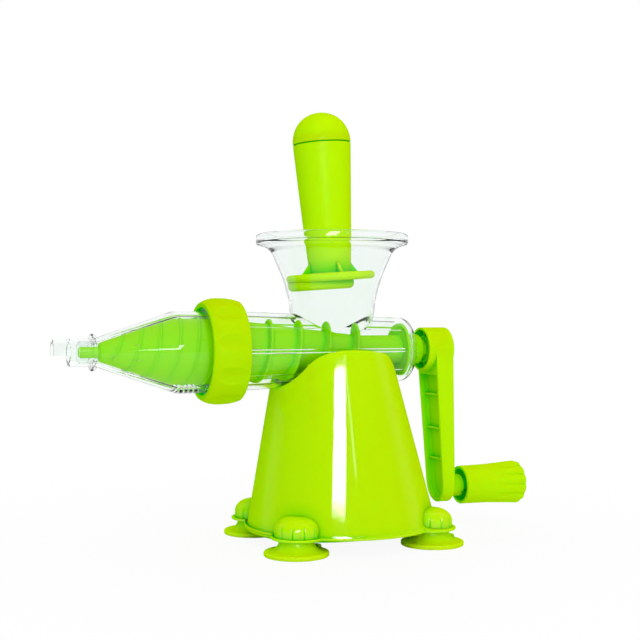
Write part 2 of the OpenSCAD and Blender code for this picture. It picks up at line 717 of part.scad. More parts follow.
module feed_flight() {
  steps = ceil((feed_start_x - feed_end_x) / feed_pitch * flight_steps);
  xs = [for (i = [0 : steps]) feed_start_x + (feed_end_x - feed_start_x) * i / steps];
  low = [for (x = xs) core_r(x) - flight_sink];
  high = [for (i = [0 : steps]) let(x = xs[i], f = fade(i / steps, feed_fade))
    max(core_r(x) - flight_sink / 2, core_r(x) - flight_sink / 2
      + (feed_tip_r(x) - core_r(x) + flight_sink / 2) * f)];
  flight(feed_start_x, feed_end_x, first_tip_x, feed_pitch, flight_root_t, flight_tip_t, low, high);
}

module press_flight() {
  steps = ceil((press_start_x - press_end_x) / press_pitch * flight_steps);
  xs = [for (i = [0 : steps]) press_start_x + (press_end_x - press_start_x) * i / steps];
  low = [for (x = xs) core_r(x) - flight_sink];
  high = [for (i = [0 : steps]) core_r(xs[i]) - flight_sink / 2
    + (press_flight_h + flight_sink / 2) * fade(i / steps, press_fade)];
  flight(press_start_x, press_end_x, press_start_x, press_pitch, press_root_t, press_tip_t, low, high);
}

drive_r = drive_flats / sqrt(3);
pin_round = 1.2;
crank_screw_l = 11;
screw_hole_l = 12;
drive_hole_r = crank_screw_r + running_gap;

module auger() color(lime) placed() difference() {
  union() {
    turned(
      [[auger_pin_end_x, 0], [auger_pin_end_x, auger_pin_r - pin_round],
        [auger_pin_end_x + pin_round, auger_pin_r], [auger_cone_end_x, auger_pin_r],
        [auger_cone_end_x, auger_cone_end_r], [auger_cone_x, auger_cone_r], [auger_body_x, auger_body_r],
        [feed_start_x, auger_shaft_r], [thrust_disc_x, auger_shaft_r], [thrust_disc_x, thrust_disc_r],
        [thrust_disc_x + thrust_disc_t, thrust_disc_r], [thrust_disc_x + thrust_disc_t, journal_r],
        [journal_end_x, journal_r], [journal_end_x, 0]]);
    feed_flight();
    press_flight();
    on_axis() translate([0, 0, journal_end_x - embed])
      cylinder(h = drive_end_x - journal_end_x + embed, r = drive_r, $fn = 6);
  }
  axial(drive_end_x - screw_hole_l, drive_end_x + overrun, drive_hole_r, drive_hole_r);
}

// FRONT CONE: strainer with the collar, the flange under the ring nut and the nozzle's spigot

ring_lip_x = ring_front_x + ring_lip_t;
cone_flange_x = ring_lip_x + seat_gap;
cone_back_x = cone_flange_x + cone_flange_t;
cone_slope = (collar_r - cone_tip_r) / (cone_shoulder_x - cone_tip_x);
cone_skin_r = cone_wall / cos(atan(cone_slope));
spigot_wall = 1.5;
spigot_bore_r = spigot_r - spigot_wall;
slot_pitch = 3.1;
slot_inset = 1.5;
slot_first_x = cone_shoulder_x + slot_inset;
slot_half_angle = 24;
drain_half_w = collar_r * sin(slot_half_angle);
slot_share = 0.8;
drain_bulge = 1.1;

module cone_inside() turned([
  [cone_tip_x - spigot_l - overrun, 0], [cone_tip_x - spigot_l - overrun, spigot_bore_r],
  [cone_tip_x, spigot_bore_r], [cone_tip_x, cone_tip_r - cone_skin_r],
  [cone_shoulder_x, collar_r - cone_skin_r], [cone_back_x + overrun, collar_r - cone_skin_r],
  [cone_back_x + overrun, 0]]);

module front_cone() color(clear_tint) placed() {
  difference() {
    union() {
      turned([
        [cone_tip_x - spigot_l, 0], [cone_tip_x - spigot_l, spigot_r], [cone_tip_x, spigot_r],
        [cone_tip_x, cone_tip_r], [cone_shoulder_x, collar_r], [cone_flange_x, collar_r],
        [cone_flange_x, cone_flange_r], [cone_back_x, cone_flange_r], [cone_back_x, 0]]);
      drain_ridge();
    }
    cone_inside();
    for (i = [0 : juice_slots - 1]) juice_slot(slot_first_x + i * slot_pitch);
  }
  cone_rib_set();
}

// A slight swelling of the collar's underside, where the slots are
module drain_ridge() intersection() {
  turned([[cone_shoulder_x, collar_r - embed], [cone_shoulder_x + drain_bulge, collar_r + drain_bulge],
    [cone_flange_x, collar_r + drain_bulge], [cone_flange_x, collar_r - embed]]);
  translate([cone_shoulder_x, -drain_half_w, axis_h - 2 * collar_r])
    cube([cone_back_x - cone_shoulder_x, 2 * drain_half_w, 2 * collar_r]);
}

// A slot across the underside of the collar
module juice_slot(x) translate([x, -drain_half_w * slot_share, axis_h - 2 * collar_r])
  cube([juice_slot_w, 2 * drain_half_w * slot_share, 3 / 2 * collar_r]);

module cone_rib_set() intersection() {
  for (i = [0 : cone_ribs - 1]) on_axis() rotate((i + 0.5) * 360 / cone_ribs)
    translate([0, -barrel_rib_w / 2, cone_tip_x]) cube([collar_r, barrel_rib_w, cone_back_x - cone_tip_x]);
  difference() {
    turned([[cone_tip_x + overrun, 0],
      [cone_tip_x + overrun, cone_tip_r + cone_slope * overrun - cone_skin_r + embed],
      [cone_shoulder_x, collar_r - cone_skin_r + embed], [cone_back_x, collar_r - cone_skin_r + embed],
      [cone_back_x, 0]]);
    turned([[cone_tip_x, 0], [cone_tip_x, cone_tip_r - cone_skin_r - cone_rib_h],
      [cone_shoulder_x, collar_r - cone_skin_r - cone_rib_h],
      [cone_back_x + overrun, collar_r - cone_skin_r - cone_rib_h], [cone_back_x + overrun, 0]]);
    for (i = [0 : juice_slots - 1]) juice_slot(slot_first_x + i * slot_pitch);
  }
}

gasket_lip_t = barrel_front_x - seat_gap - cone_back_x;
gasket_l = 4;
gasket_lip_x = cone_back_x + gasket_lip_t;
gasket_end_x = cone_back_x + gasket_l;
tongue_in_r = barrel_front_r + face_gap;
tongue_out_r = groove_outer_r - face_gap;

// Silicone ring: a flat lip between flange and barrel, with a tongue in the barrel's groove
module front_gasket() color(silicone) placed() turned([
  [cone_back_x, bore_front_r], [cone_back_x, cone_flange_r], [gasket_lip_x, cone_flange_r],
  [gasket_lip_x, tongue_out_r], [gasket_end_x, tongue_out_r], [gasket_end_x, tongue_in_r],
  [gasket_lip_x, tongue_in_r], [gasket_lip_x, bore_front_r]]);

// RING NUT

ring_rear_x = ring_front_x + ring_l;
ring_bore_r = head_r + face_gap;
ring_r = ring_bore_r + ring_wall;
ring_front_r = ring_bore_r + ring_front_wall;
ring_rear_r = ring_bore_r + ring_rear_wall;
ring_mouth_r = collar_r + ring_mouth_gap;
ring_top_share = 0.45;
scallop_share = 0.48;
// Shares of the ring nut's length and of its crown's rise
crown_shares = [[0, 0], [0.06, 0.32], [0.16, 0.66], [0.3, 0.92], [ring_top_share, 1], [0.62, 0.95],
  [0.8, 0.7], [0.93, 0.3], [1, 0]];

// Radius of the ring nut's crowned outside at one pair of shares
function crown_foot_r(s) = s[0] < ring_top_share ? ring_front_r : ring_rear_r;
function crown_r(s) = crown_foot_r(s) + (ring_r - crown_foot_r(s)) * s[1];

module ring_nut() color(lime) placed() difference() {
  turned(concat(
    spline([for (s = crown_shares) [ring_front_x + ring_l * s[0], crown_r(s)]], 3),
    [[ring_rear_x, ring_bore_r], [ring_lip_x, ring_bore_r], [ring_lip_x, ring_mouth_r],
      [ring_front_x, ring_mouth_r]]));
  for (i = [0 : ring_scallops - 1]) translate([0, 0, axis_h])
    rotate([(i + scallop_phase) * 360 / ring_scallops, 0, 0])
      translate([ring_front_x + ring_l * scallop_share, 0, ring_r - scallop_depth + scallop_r])
        rotate([0, 90, 0]) cylinder(h = ring_l, r = scallop_r, center = true, $fn = 64);
}

// NOZZLE

nozzle_bore_r = spigot_r + running_gap;
nozzle_way_r = 5.6;
hood_drop = 1.7;
spigot_end_x = cone_tip_x - spigot_l;

module nozzle() color(clear_tint) placed() {
  difference() {
    turned([
      [nozzle_start_x(), 0], [nozzle_start_x(), nozzle_flange_r],
      [nozzle_start_x() - nozzle_flange_t, nozzle_flange_r], [nozzle_start_x() - nozzle_flange_t, nozzle_r],
      [nozzle_start_x() - nozzle_tube_l, nozzle_r], [nozzle_start_x() - nozzle_tube_l, 0]]);
    axial(spigot_end_x - seat_gap, nozzle_start_x() + overrun, nozzle_bore_r, nozzle_bore_r);
    axial(nozzle_end_x, nozzle_start_x(), nozzle_way_r, nozzle_way_r);
  }
  difference() {
    axial(nozzle_end_x, nozzle_start_x() - nozzle_tube_l + embed, nozzle_hood_r, nozzle_hood_r);
    axial(nozzle_end_x - overrun, nozzle_start_x(), nozzle_way_r, nozzle_way_r);
    translate([nozzle_end_x - overrun, -nozzle_r, axis_h - nozzle_r - hood_drop])
      cube([nozzle_hood_l + overrun, 2 * nozzle_r, nozzle_r]);
  }
}

// CRANK

hub_wall = 1.6;
hub_bore_r = hub_r - hub_wall;
hub_floor_x = drive_end_x + seat_gap;
hub_crown = 0.5;
socket_r = 9.2;
socket_front_x = 60.4;
web_front_x = 61.4;
hub_web_t = 1.4;
hub_webs = 8;
channel_top_z = axis_h - hub_r - arm_wall;
channel_rib_share = 0.55;
counterbore_r = 5.4;
counterbore_h = 2.6;
washer_t = 0.9;
crank_screw_head_h = 1.7;
arm_end_h = grip_axis_h + arm_end_rise;

// The arm's outline seen from the grip side: two round ends joined by straight sides
module arm_outline(inset) {
  top_r = hub_r - inset;
  low_r = arm_low_r - inset;
  lean = asin((hub_r - arm_low_r) / (axis_h - arm_end_h));
  translate([0, axis_h]) circle(r = top_r);
  translate([0, arm_end_h]) circle(r = low_r);
  top_z = axis_h - top_r * sin(lean);
  low_z = arm_end_h - low_r * sin(lean);
  polygon([[-top_r * cos(lean), top_z], [top_r * cos(lean), top_z], [low_r * cos(lean), low_z],
    [-low_r * cos(lean), low_z]]);
}

// The outline pushed along X from x0 to x1
module arm_block(inset, x0, x1) translate([x0, 0, 0]) rotate([90, 0, 90]) linear_extrude(x1 - x0)
  arm_outline(inset);

// The side view between an inner and an outer face that both lean, from z = low to z = high
module arm_wedge(inner, outer, low, high) {
  function at(face, z) = face[1] + (face[0] - face[1]) * (z - grip_axis_h) / crank_throw;
  translate([0, hub_r * 2, 0]) rotate([90, 0, 0]) linear_extrude(hub_r * 4) polygon([[at(inner, low), low],
    [at(outer, low), low], [at(outer, high), high], [at(inner, high), high]]);
}

arm_inner = [arm_inner_top_x, arm_inner_low_x];
arm_outer = [arm_outer_top_x, arm_outer_low_x];
arm_floor = arm_inner + [channel_depth, channel_depth];
rib_face = arm_floor - channel_depth * channel_rib_share * [1, 1];
rib_root = arm_floor + [embed, embed];
bridge_x = arm_outer_top_x - counterbore_h;
crank_hole_r = crank_screw_r + seat_gap;
hex_room_r = drive_r + seat_gap;

module crank_arm() color(lime) placed() {
  low_z = grip_axis_h - hub_r * 2;
  high_z = axis_h + hub_r * 2;
  difference() {
    union() {
      intersection() {
        arm_block(0, hub_front_x, grip_start_x);
        arm_wedge(arm_inner, arm_outer, low_z, high_z);
      }
      axial(hub_front_x, arm_outer_top_x + hub_crown, hub_r, hub_r);
      spindle();
    }
    intersection() {
      arm_block(arm_wall, hub_front_x - overrun, arm_outer_low_x);
      arm_wedge([0, 0], arm_floor, low_z, channel_top_z);
    }
    axial(hub_front_x - overrun, hub_floor_x, hub_bore_r, hub_bore_r);
    axial(bridge_x, arm_outer_top_x + overrun * 2, counterbore_r, counterbore_r);
    axial(hub_front_x, arm_outer_top_x, crank_hole_r, crank_hole_r);
  }
  difference() {
    axial(socket_front_x, bridge_x, socket_r, socket_r);
    on_axis() translate([0, 0, socket_front_x - overrun])
      cylinder(h = hub_floor_x - socket_front_x + overrun, r = hex_room_r, $fn = 6);
    axial(hub_front_x, arm_outer_top_x, crank_hole_r, crank_hole_r);
  }
  hub_web_set();
  for (h = channel_rib_heights) channel_rib(grip_axis_h + h);
}

// Thin webs between the hub's rim and its socket
module hub_web_set() intersection() {
  difference() {
    axial(web_front_x, bridge_x, hub_bore_r + embed, hub_bore_r + embed);
    axial(hub_front_x, arm_outer_top_x, socket_r - embed, socket_r - embed);
  }
  for (i = [0 : hub_webs - 1]) on_axis() rotate(i * 360 / hub_webs)
    translate([0, -hub_web_t / 2, hub_front_x]) cube([hub_r, hub_web_t, arm_outer_top_x - hub_front_x]);
}

// A thin rib across the channel, with its free edge below the channel's rim
module channel_rib(z) intersection() {
  arm_block(arm_wall - embed, hub_front_x, arm_outer_low_x);
  arm_wedge(rib_face, rib_root, z, z + channel_rib_t);
}

spindle_end_x = grip_start_x + spindle_grip_l;
snap_lip = 0.8;
snap_groove_depth = 0.6;
snap_r = spindle_r + snap_lip;
snap_groove_r = spindle_r - snap_groove_depth;
snap_l = 3;
snap_groove_l = 5;
snap_slit_turn = 35;
snap_groove_x = spindle_end_x - snap_l - snap_groove_l;

// The spindle for the grip: a root as long as the gap, then a plain journal with a barbed, slit end
module spindle() translate([0, 0, -crank_throw]) difference() {
  turned([
    [arm_outer_low_x - arm_wall, 0], [arm_outer_low_x - arm_wall, spindle_root_r],
    [grip_start_x, spindle_root_r], [grip_start_x, spindle_r],
    [snap_groove_x, spindle_r], [snap_groove_x, snap_groove_r],
    [spindle_end_x - snap_l, snap_groove_r], [spindle_end_x - snap_l, snap_r],
    [spindle_end_x, snap_groove_r], [spindle_end_x, 0]]);
  on_axis() rotate(snap_slit_turn) translate([-2 * spindle_r, -snap_slit_w / 2, grip_start_x - snap_slit_w])
    cube([4 * spindle_r, snap_slit_w, spindle_grip_l + snap_slit_w + overrun]);
}

module crank_screw() color(steel) placed() on_axis() translate([0, 0, bridge_x + washer_t])
  mirror([0, 0, 1]) pan_screw(crank_screw_r, crank_screw_l, crank_screw_head_r, crank_screw_head_h);

module crank_washer() color(steel) placed() difference() {
  axial(bridge_x, bridge_x + washer_t, counterbore_r - seat_gap, counterbore_r - seat_gap);
  axial(bridge_x - overrun, arm_outer_top_x, crank_hole_r, crank_hole_r);
}

// GRIP

grip_skirt_l = 8;
grip_dome_l = 5;
grip_core_swell = 0.6;
ridge_start_sink = 1;
snap_room_gap = 0.5;
snap_room_r = snap_r + snap_room_gap;
snap_room_x = spindle_end_x - snap_l - face_gap;
grip_skirt_r = grip_start_r - grip_wall;
grip_bore_r = spindle_r + running_gap;
// Shares of the domed end's length and of its radius
dome_end_shares = [[0, 1], [0.44, 0.95], [0.84, 0.7], [1, 0.35], [1, 0]];

// Twelve tilted rods on a tapering core give ridges that rise towards the far end
module grip_outside() {
  run = grip_l - grip_dome_l;
  in_r = grip_start_r - grip_ridge_r - ridge_start_sink;
  out_r = grip_end_r - grip_ridge_r;
  tilt = atan((out_r - in_r) / run);
  intersection() {
    union() {
      axial(grip_start_x, grip_end_x, grip_start_r, grip_start_r + grip_core_swell);
      for (i = [0 : grip_ridges - 1]) on_axis() rotate((i + 0.5) * 360 / grip_ridges)
        translate([in_r, 0, grip_start_x]) rotate([0, tilt, 0])
          translate([0, 0, -overrun]) cylinder(h = grip_l + 4 * overrun, r = grip_ridge_r, $fn = 48);
    }
    turned(concat(
      [[grip_start_x, 0], [grip_start_x, grip_start_r], [grip_start_x + overrun, 2 * grip_end_r],
        [grip_end_x - grip_dome_l, 2 * grip_end_r]],
      spline([for (s = dome_end_shares)
        [grip_end_x - grip_dome_l * (1 - s[0]), (grip_end_r + seat_gap) * s[1]]], 4)));
  }
}

module grip() color(lime) placed() translate([0, 0, -crank_throw]) difference() {
  grip_outside();
  axial(grip_start_x - overrun, grip_start_x + grip_skirt_l, grip_skirt_r, grip_skirt_r);
  axial(grip_start_x, snap_room_x, grip_bore_r, grip_bore_r);
  axial(snap_room_x, spindle_end_x + face_gap * 2, snap_room_r, snap_room_r);
}

// PUSHER

// The pusher's own frame: its origin is on the handle's axis at the plate's top, before it leans
handle_h = (pusher_top_h - plate_top_h) / cos(pusher_lean) - pusher_cap_h;
rim_level = (hopper_top_h - plate_top_h) / cos(pusher_lean);
seam_gap = 0.5;
cap_skin = 1.4;
cap_neck_r = pusher_top_r - cap_skin;
cap_spigot_h = 4;
spigot_top_h = handle_h + cap_spigot_h;
cap_room_r = cap_neck_r + seat_gap;
cap_room_share = 0.55;
cap_steps = 16;
cap_roundness = 0.95;
gusset_w = 6.4;
gusset_h = 7.4;
gusset_t = 2;
pusher_x = hopper_x - pusher_offset;
handle_wall = 2.4;

module pusher_frame() translate([pusher_x, 0, plate_top_h]) rotate([0, -pusher_lean, 0]) children();

// Handle outline as [radius, height above the plate], from the plate past the rim's level to the seam
handle_points = [[pusher_low_r, 0], [pusher_mid_r, rim_level], [pusher_top_r, handle_h - seam_gap]];

module pusher_handle() color(lime) placed() pusher_frame() {
  difference() {
    union() {
      rotate_extrude() polygon(concat([[0, -embed], [pusher_low_r, -embed]], spline(handle_points, 6),
        [[cap_neck_r, handle_h - seam_gap], [cap_neck_r, spigot_top_h], [0, spigot_top_h]]));
      plate();
      translate([-plug_offset, 0, -plate_t]) plug();
      for (i = [0 : 3]) rotate(i * 90) gusset();
    }
    rotate_extrude() polygon(concat([[0, -plate_t / 2], [pusher_low_r - handle_wall, -plate_t / 2]],
      [for (p = spline(handle_points, 6)) [min(p[0], cap_neck_r) - handle_wall, p[1]]],
      [[cap_neck_r - handle_wall, spigot_top_h + overrun], [0, spigot_top_h + overrun]]));
  }
}

// The plate, with a fully rounded edge
module plate() rotate_extrude() polygon(concat([[0, -plate_t]],
  corner([plate_r - plate_t / 2, -plate_t / 2], plate_t / 2, -90, 90, 12), [[0, 0]]));

plug_round_r = 3;
plug_round_h = 3.4;

module plug() rotate_extrude() polygon(concat([[0, embed], [plug_r, embed]],
  oval_corner([plug_r - plug_round_r, plug_round_h - plug_h], plug_round_r, plug_round_h, 0, -90, 6),
  [[0, -plug_h]]));

module gusset() translate([0, gusset_t / 2, 0]) rotate([90, 0, 0]) linear_extrude(gusset_t)
  polygon([[pusher_low_r - handle_wall / 2, -embed], [pusher_low_r + gusset_w, -embed],
    [pusher_low_r + embed, gusset_h], [pusher_low_r - handle_wall / 2, gusset_h]]);

// The cap: a hollow dome over the handle's neck
module pusher_cap() color(lime) placed() pusher_frame() translate([0, 0, handle_h]) difference() {
  rotate_extrude() polygon(concat([[0, 0]], cap_outline, [[0, pusher_cap_h]]));
  translate([0, 0, -overrun]) cylinder(h = cap_spigot_h + overrun + seat_gap, r = cap_room_r);
  translate([0, 0, cap_spigot_h]) cylinder(h = pusher_cap_h - cap_spigot_h - handle_wall * 2,
    r1 = cap_room_r, r2 = cap_neck_r * cap_room_share);
}

// Points of the dome, from its foot up to its crown, close to a half ball
cap_outline = [for (i = [0 : cap_steps]) let(a = 90 * i / cap_steps)
  [pusher_top_r * pow(cos(a), cap_roundness), pusher_cap_h * pow(sin(a), cap_roundness)]];

base_shell();
suction_cup_front_left();
suction_cup_front_right();
suction_cup_rear_left();
suction_cup_rear_right();
juicing_body();
body_screws();
shaft_seal();
auger();
front_cone();
front_gasket();
ring_nut();
nozzle();
crank_arm();
crank_screw();
crank_washer();
grip();
pusher_handle();
pusher_cap();
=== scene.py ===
"""Looks of the manual wheatgrass juicer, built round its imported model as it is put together.
Lengths are in millimetres about the base's own centre, crank at +X, until a piece's mesh is placed."""

import math

import bmesh
import bpy
import numpy as np
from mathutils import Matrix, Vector


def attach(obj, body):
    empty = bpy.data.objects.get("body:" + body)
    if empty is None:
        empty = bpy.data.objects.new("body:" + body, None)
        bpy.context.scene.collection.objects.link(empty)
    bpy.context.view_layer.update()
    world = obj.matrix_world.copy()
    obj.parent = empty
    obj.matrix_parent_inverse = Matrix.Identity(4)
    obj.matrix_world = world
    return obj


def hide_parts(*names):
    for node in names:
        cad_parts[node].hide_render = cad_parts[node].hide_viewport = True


# CAMERA: it stands at the photograph's place and looks level. Its focal length follows from a lens of 1150
# pixels over the photograph's 640 on a film side of 36 mm.
photo_side_px = 640
lens_px = 1150
film_side = 36.0
far_clip = 20.0
camera_place = (-0.2711, -0.6980, 0.1439)
camera_yaw = math.radians(-22.0)

camera_data = bpy.data.cameras.new("camera")
camera_data.sensor_width = film_side
camera_data.lens = film_side * lens_px / photo_side_px
camera_data.clip_end = far_clip
camera = bpy.data.objects.new("camera", camera_data)
camera.location = camera_place
camera.rotation_euler = (math.radians(90.0), 0.0, camera_yaw)
bpy.context.scene.collection.objects.link(camera)
bpy.context.scene.camera = camera
bpy.context.scene.view_settings.view_transform = "Standard"

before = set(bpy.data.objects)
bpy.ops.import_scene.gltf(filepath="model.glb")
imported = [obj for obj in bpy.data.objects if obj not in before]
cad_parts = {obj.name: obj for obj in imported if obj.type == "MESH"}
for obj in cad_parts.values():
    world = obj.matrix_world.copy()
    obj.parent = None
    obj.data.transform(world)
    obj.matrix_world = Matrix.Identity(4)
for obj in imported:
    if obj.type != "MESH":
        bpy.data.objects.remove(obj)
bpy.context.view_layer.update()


# FLOOR: one sheet of white seamless paper. It lies flat under the cups, keeps the juicer's soft shadow near
# its feet and runs into the white backdrop further out.
floor_half = 6.0
floor_white = "#F6F7F6"
white_near, white_far, near_white_share = 0.12, 0.4, 0.92


def linear(hex_colour):
    """sRGB hex to linear red, green, blue and 1: the low part by 12.92, the rest by the 2.4 power curve."""
    s = np.array([int(hex_colour[i : i + 2], 16) for i in (1, 3, 5)]) / 255
    low, high = s / 12.92, ((s + 0.055) / 1.055) ** 2.4
    return (*np.where(s <= 0.04045, low, high), 1.0)


def add_node(tree, kind, sockets, **settings):
    """Adds one node: its settings, then each input by name or number, fed by an output or set to a value."""
    made = tree.nodes.new(kind)
    for key, value in settings.items():
        setattr(made, key, value)
    for key, value in sockets.items():
        if isinstance(value, bpy.types.NodeSocket):
            tree.links.new(value, made.inputs[key])
        else:
            made.inputs[key].default_value = value
    return made


def empty_material(name):
    """A material with a cleared node tree and its output node."""
    made = bpy.data.materials.new(name)
    made.use_nodes = True
    made.node_tree.nodes.clear()
    return made, made.node_tree


def directly_seen(tree):
    """1 for a ray that left the camera and met nothing or only passed through clear plastic, else 0: the
    camera flag, or the transmission flag while nothing has scattered or mirrored the ray."""
    path = add_node(tree, "ShaderNodeLightPath", {})
    bounces = add_node(tree, "ShaderNodeMath", {
        0: path.outputs["Diffuse Depth"], 1: path.outputs["Glossy Depth"]}, operation="ADD")
    early = add_node(tree, "ShaderNodeMath", {0: bounces.outputs[0], 1: 0.5}, operation="LESS_THAN")
    through = add_node(tree, "ShaderNodeMath", {
        0: path.outputs["Is Transmission Ray"], 1: early.outputs[0]}, operation="MULTIPLY")
    return add_node(tree, "ShaderNodeMath", {
        0: path.outputs["Is Camera Ray"], 1: through.outputs[0]}, operation="MAXIMUM")


def seamless_paper():
    """White matt paper that the camera sees mostly as plain white: the white share rises in a straight line
    over the distance from the middle, from near_white_share at white_near to 1 at white_far."""
    made, tree = empty_material("seamless_paper")
    place = add_node(tree, "ShaderNodeTexCoord", {})
    far = add_node(tree, "ShaderNodeVectorMath", {0: place.outputs["Object"]}, operation="LENGTH")
    share = add_node(tree, "ShaderNodeMapRange", {"Value": far.outputs["Value"], "From Min": white_near,
        "From Max": white_far, "To Min": near_white_share, "To Max": 1.0})
    seen = add_node(tree, "ShaderNodeMath", {
        0: directly_seen(tree).outputs[0], 1: share.outputs[0]}, operation="MULTIPLY")
    paper = add_node(tree, "ShaderNodeBsdfDiffuse", {"Color": linear(floor_white)})
    white = add_node(tree, "ShaderNodeEmission", {"Color": (1, 1, 1, 1), "Strength": 1.0})
    sheet = add_node(tree, "ShaderNodeMixShader", {
        0: seen.outputs[0], 1: paper.outputs[0], 2: white.outputs[0]})
    add_node(tree, "ShaderNodeOutputMaterial", {"Surface": sheet.outputs[0]})
    return made


floor_mesh = bpy.data.meshes.new("floor")
floor_corners = np.array([[-1, -1, 0], [1, -1, 0], [1, 1, 0], [-1, 1, 0]]) * floor_half
floor_mesh.from_pydata(floor_corners.tolist(), [], [(0, 1, 2, 3)])
floor_mesh.materials.append(seamless_paper())
floor = bpy.data.objects.new("floor", floor_mesh)
bpy.context.scene.collection.objects.link(floor)


# ROOM LIGHT: a white backdrop behind the juicer and a dim room in front of it, both seen only by gloss and
# through clear plastic, and a soft fill for matt surfaces, green white from the left, white from above.
backdrop_way = (math.sin(-camera_yaw), math.cos(camera_yaw), 0.0)
right_way = (math.cos(camera_yaw), math.sin(camera_yaw), 0.0)
fill_strength, room_dark, room_through = 0.6, 0.03, 0.9
fill_left, fill_right = (0.3, 1.15, 0.5, 1.0), (0.78, 1.0, 0.65, 1.0)
backdrop_edges, side_edges, overhead_edges = (-0.1, 0.5), (-0.7, 0.5), (0.2, 0.7)
world = bpy.data.worlds.new("white_backdrop")
world.use_nodes = True
sky = world.node_tree
sky.nodes.clear()
sky_path = add_node(sky, "ShaderNodeLightPath", {})
sky_way = add_node(sky, "ShaderNodeTexCoord", {}).outputs["Generated"]
sky_seen = directly_seen(sky)
behind = add_node(sky, "ShaderNodeVectorMath", {0: sky_way, 1: backdrop_way}, operation="DOT_PRODUCT")
mirrored = add_node(sky, "ShaderNodeMapRange", {"Value": behind.outputs["Value"],
    "From Min": backdrop_edges[0], "From Max": backdrop_edges[1], "To Min": room_dark, "To Max": 1.0},
    interpolation_type="SMOOTHSTEP")
in_clear = add_node(sky, "ShaderNodeMath", {
    0: sky_path.outputs["Transmission Depth"], 1: 1.0}, operation="MINIMUM")
clear_room = add_node(sky, "ShaderNodeMath", {0: in_clear.outputs[0], 1: room_through}, operation="MULTIPLY")
room = add_node(sky, "ShaderNodeMath", {
    0: mirrored.outputs[0], 1: clear_room.outputs[0]}, operation="MAXIMUM")
in_gloss = add_node(sky, "ShaderNodeMath", {
    0: sky_path.outputs["Glossy Depth"], 1: 1.0}, operation="MINIMUM")
unseen = add_node(sky, "ShaderNodeMix", {0: in_gloss.outputs[0], 2: fill_strength, 3: room.outputs[0]})
strength = add_node(sky, "ShaderNodeMix", {0: sky_seen.outputs[0], 2: unseen.outputs[0], 3: 1.0})
sky_parts = add_node(sky, "ShaderNodeSeparateXYZ", {"Vector": sky_way})
overhead = add_node(sky, "ShaderNodeMapRange", {"Value": sky_parts.outputs["Z"],
    "From Min": overhead_edges[0], "From Max": overhead_edges[1]})
plain = add_node(sky, "ShaderNodeMath", {
    0: in_gloss.outputs[0], 1: sky_seen.outputs[0]}, operation="MAXIMUM")
white_share = add_node(sky, "ShaderNodeMath", {
    0: plain.outputs[0], 1: overhead.outputs[0]}, operation="MAXIMUM")
beside = add_node(sky, "ShaderNodeVectorMath", {0: sky_way, 1: right_way}, operation="DOT_PRODUCT")
right_share = add_node(sky, "ShaderNodeMapRange", {"Value": beside.outputs["Value"],
    "From Min": side_edges[0], "From Max": side_edges[1]})
fill_tint = add_node(sky, "ShaderNodeMix", {
    0: right_share.outputs[0], 6: fill_left, 7: fill_right}, data_type="RGBA")
tint = add_node(sky, "ShaderNodeMix", {
    0: white_share.outputs[0], 6: fill_tint.outputs[2], 7: (1, 1, 1, 1)}, data_type="RGBA")
backdrop = add_node(sky, "ShaderNodeBackground", {
    "Color": tint.outputs[2], "Strength": strength.outputs[0]})
add_node(sky, "ShaderNodeOutputWorld", {"Surface": backdrop.outputs[0]})
bpy.context.scene.world = world


# LAMPS: three broad soft boxes that light matt surfaces only, and one thin card that only gloss mirrors.
# Each is given by its turn to the right of the line from the base to the camera and its rise, both in
# degrees, its distance, width and height, its power in watts, and whether it is for gloss only.
lamps = {
    "line_card": (23.3, 18.5, 1.0, 0.05, 0.2, 0.1, True),
    "front_fill": (10.0, 25.0, 1.6, 1.2, 1.2, 11.2, False),
    "top_fill": (0.0, 75.0, 1.2, 1.0, 1.0, 0.8, False),
    "back_fill": (180.0, 20.0, 1.6, 1.2, 1.2, 7.0, False),
}
base_middle = Vector((0.0256, 0.0, 0.075))
to_camera = math.atan2(camera_place[1] - base_middle.y, camera_place[0] - base_middle.x)
for lamp_name, (right, rise, far, width, height, watts, gloss_only) in lamps.items():
    turn, up = to_camera + math.radians(right), math.radians(rise)
    lamp = bpy.data.lights.new(lamp_name, "AREA")
    lamp.shape = "RECTANGLE"
    lamp.size, lamp.size_y, lamp.energy = width, height, watts
    lamp_object = bpy.data.objects.new(lamp_name, lamp)
    way = Vector((math.cos(turn) * math.cos(up), math.sin(turn) * math.cos(up), math.sin(up)))
    lamp_object.location = base_middle + way * far
    lamp_object.rotation_euler = (-way).to_track_quat("-Z", "Y").to_euler()
    lamp_object.visible_glossy = lamp_object.visible_transmission = gloss_only
    lamp_object.visible_diffuse = not gloss_only
    bpy.context.scene.collection.objects.link(lamp_object)


# STREAK CARD: a glowing card above the camera, whose mirror image is the white streak down the base. Its
# glow fades out towards its lower edge, and its four corners give the streak its slant.
card_turn, card_far, card_fade, card_glow = to_camera + math.radians(3.3), 0.95, (0.215, 0.25), 28.0
card_corners = ((-0.243, 0.21), (0.013, 0.21), (0.32, 0.474), (-0.04, 0.435))


def glowing_card():
    """A white glow that rises in a straight line between the two heights of card_fade and is even above."""
    made, tree = empty_material("glowing_card")
    place = add_node(tree, "ShaderNodeTexCoord", {})
    height = add_node(tree, "ShaderNodeSeparateXYZ", {"Vector": place.outputs["Object"]})
    glow = add_node(tree, "ShaderNodeMapRange", {"Value": height.outputs["Z"], "From Min": card_fade[0],
        "From Max": card_fade[1], "To Min": 0.0, "To Max": card_glow})
    lit = add_node(tree, "ShaderNodeEmission", {"Color": (1, 1, 1, 1), "Strength": glow.outputs[0]})
    add_node(tree, "ShaderNodeOutputMaterial", {"Surface": lit.outputs[0]})
    return made


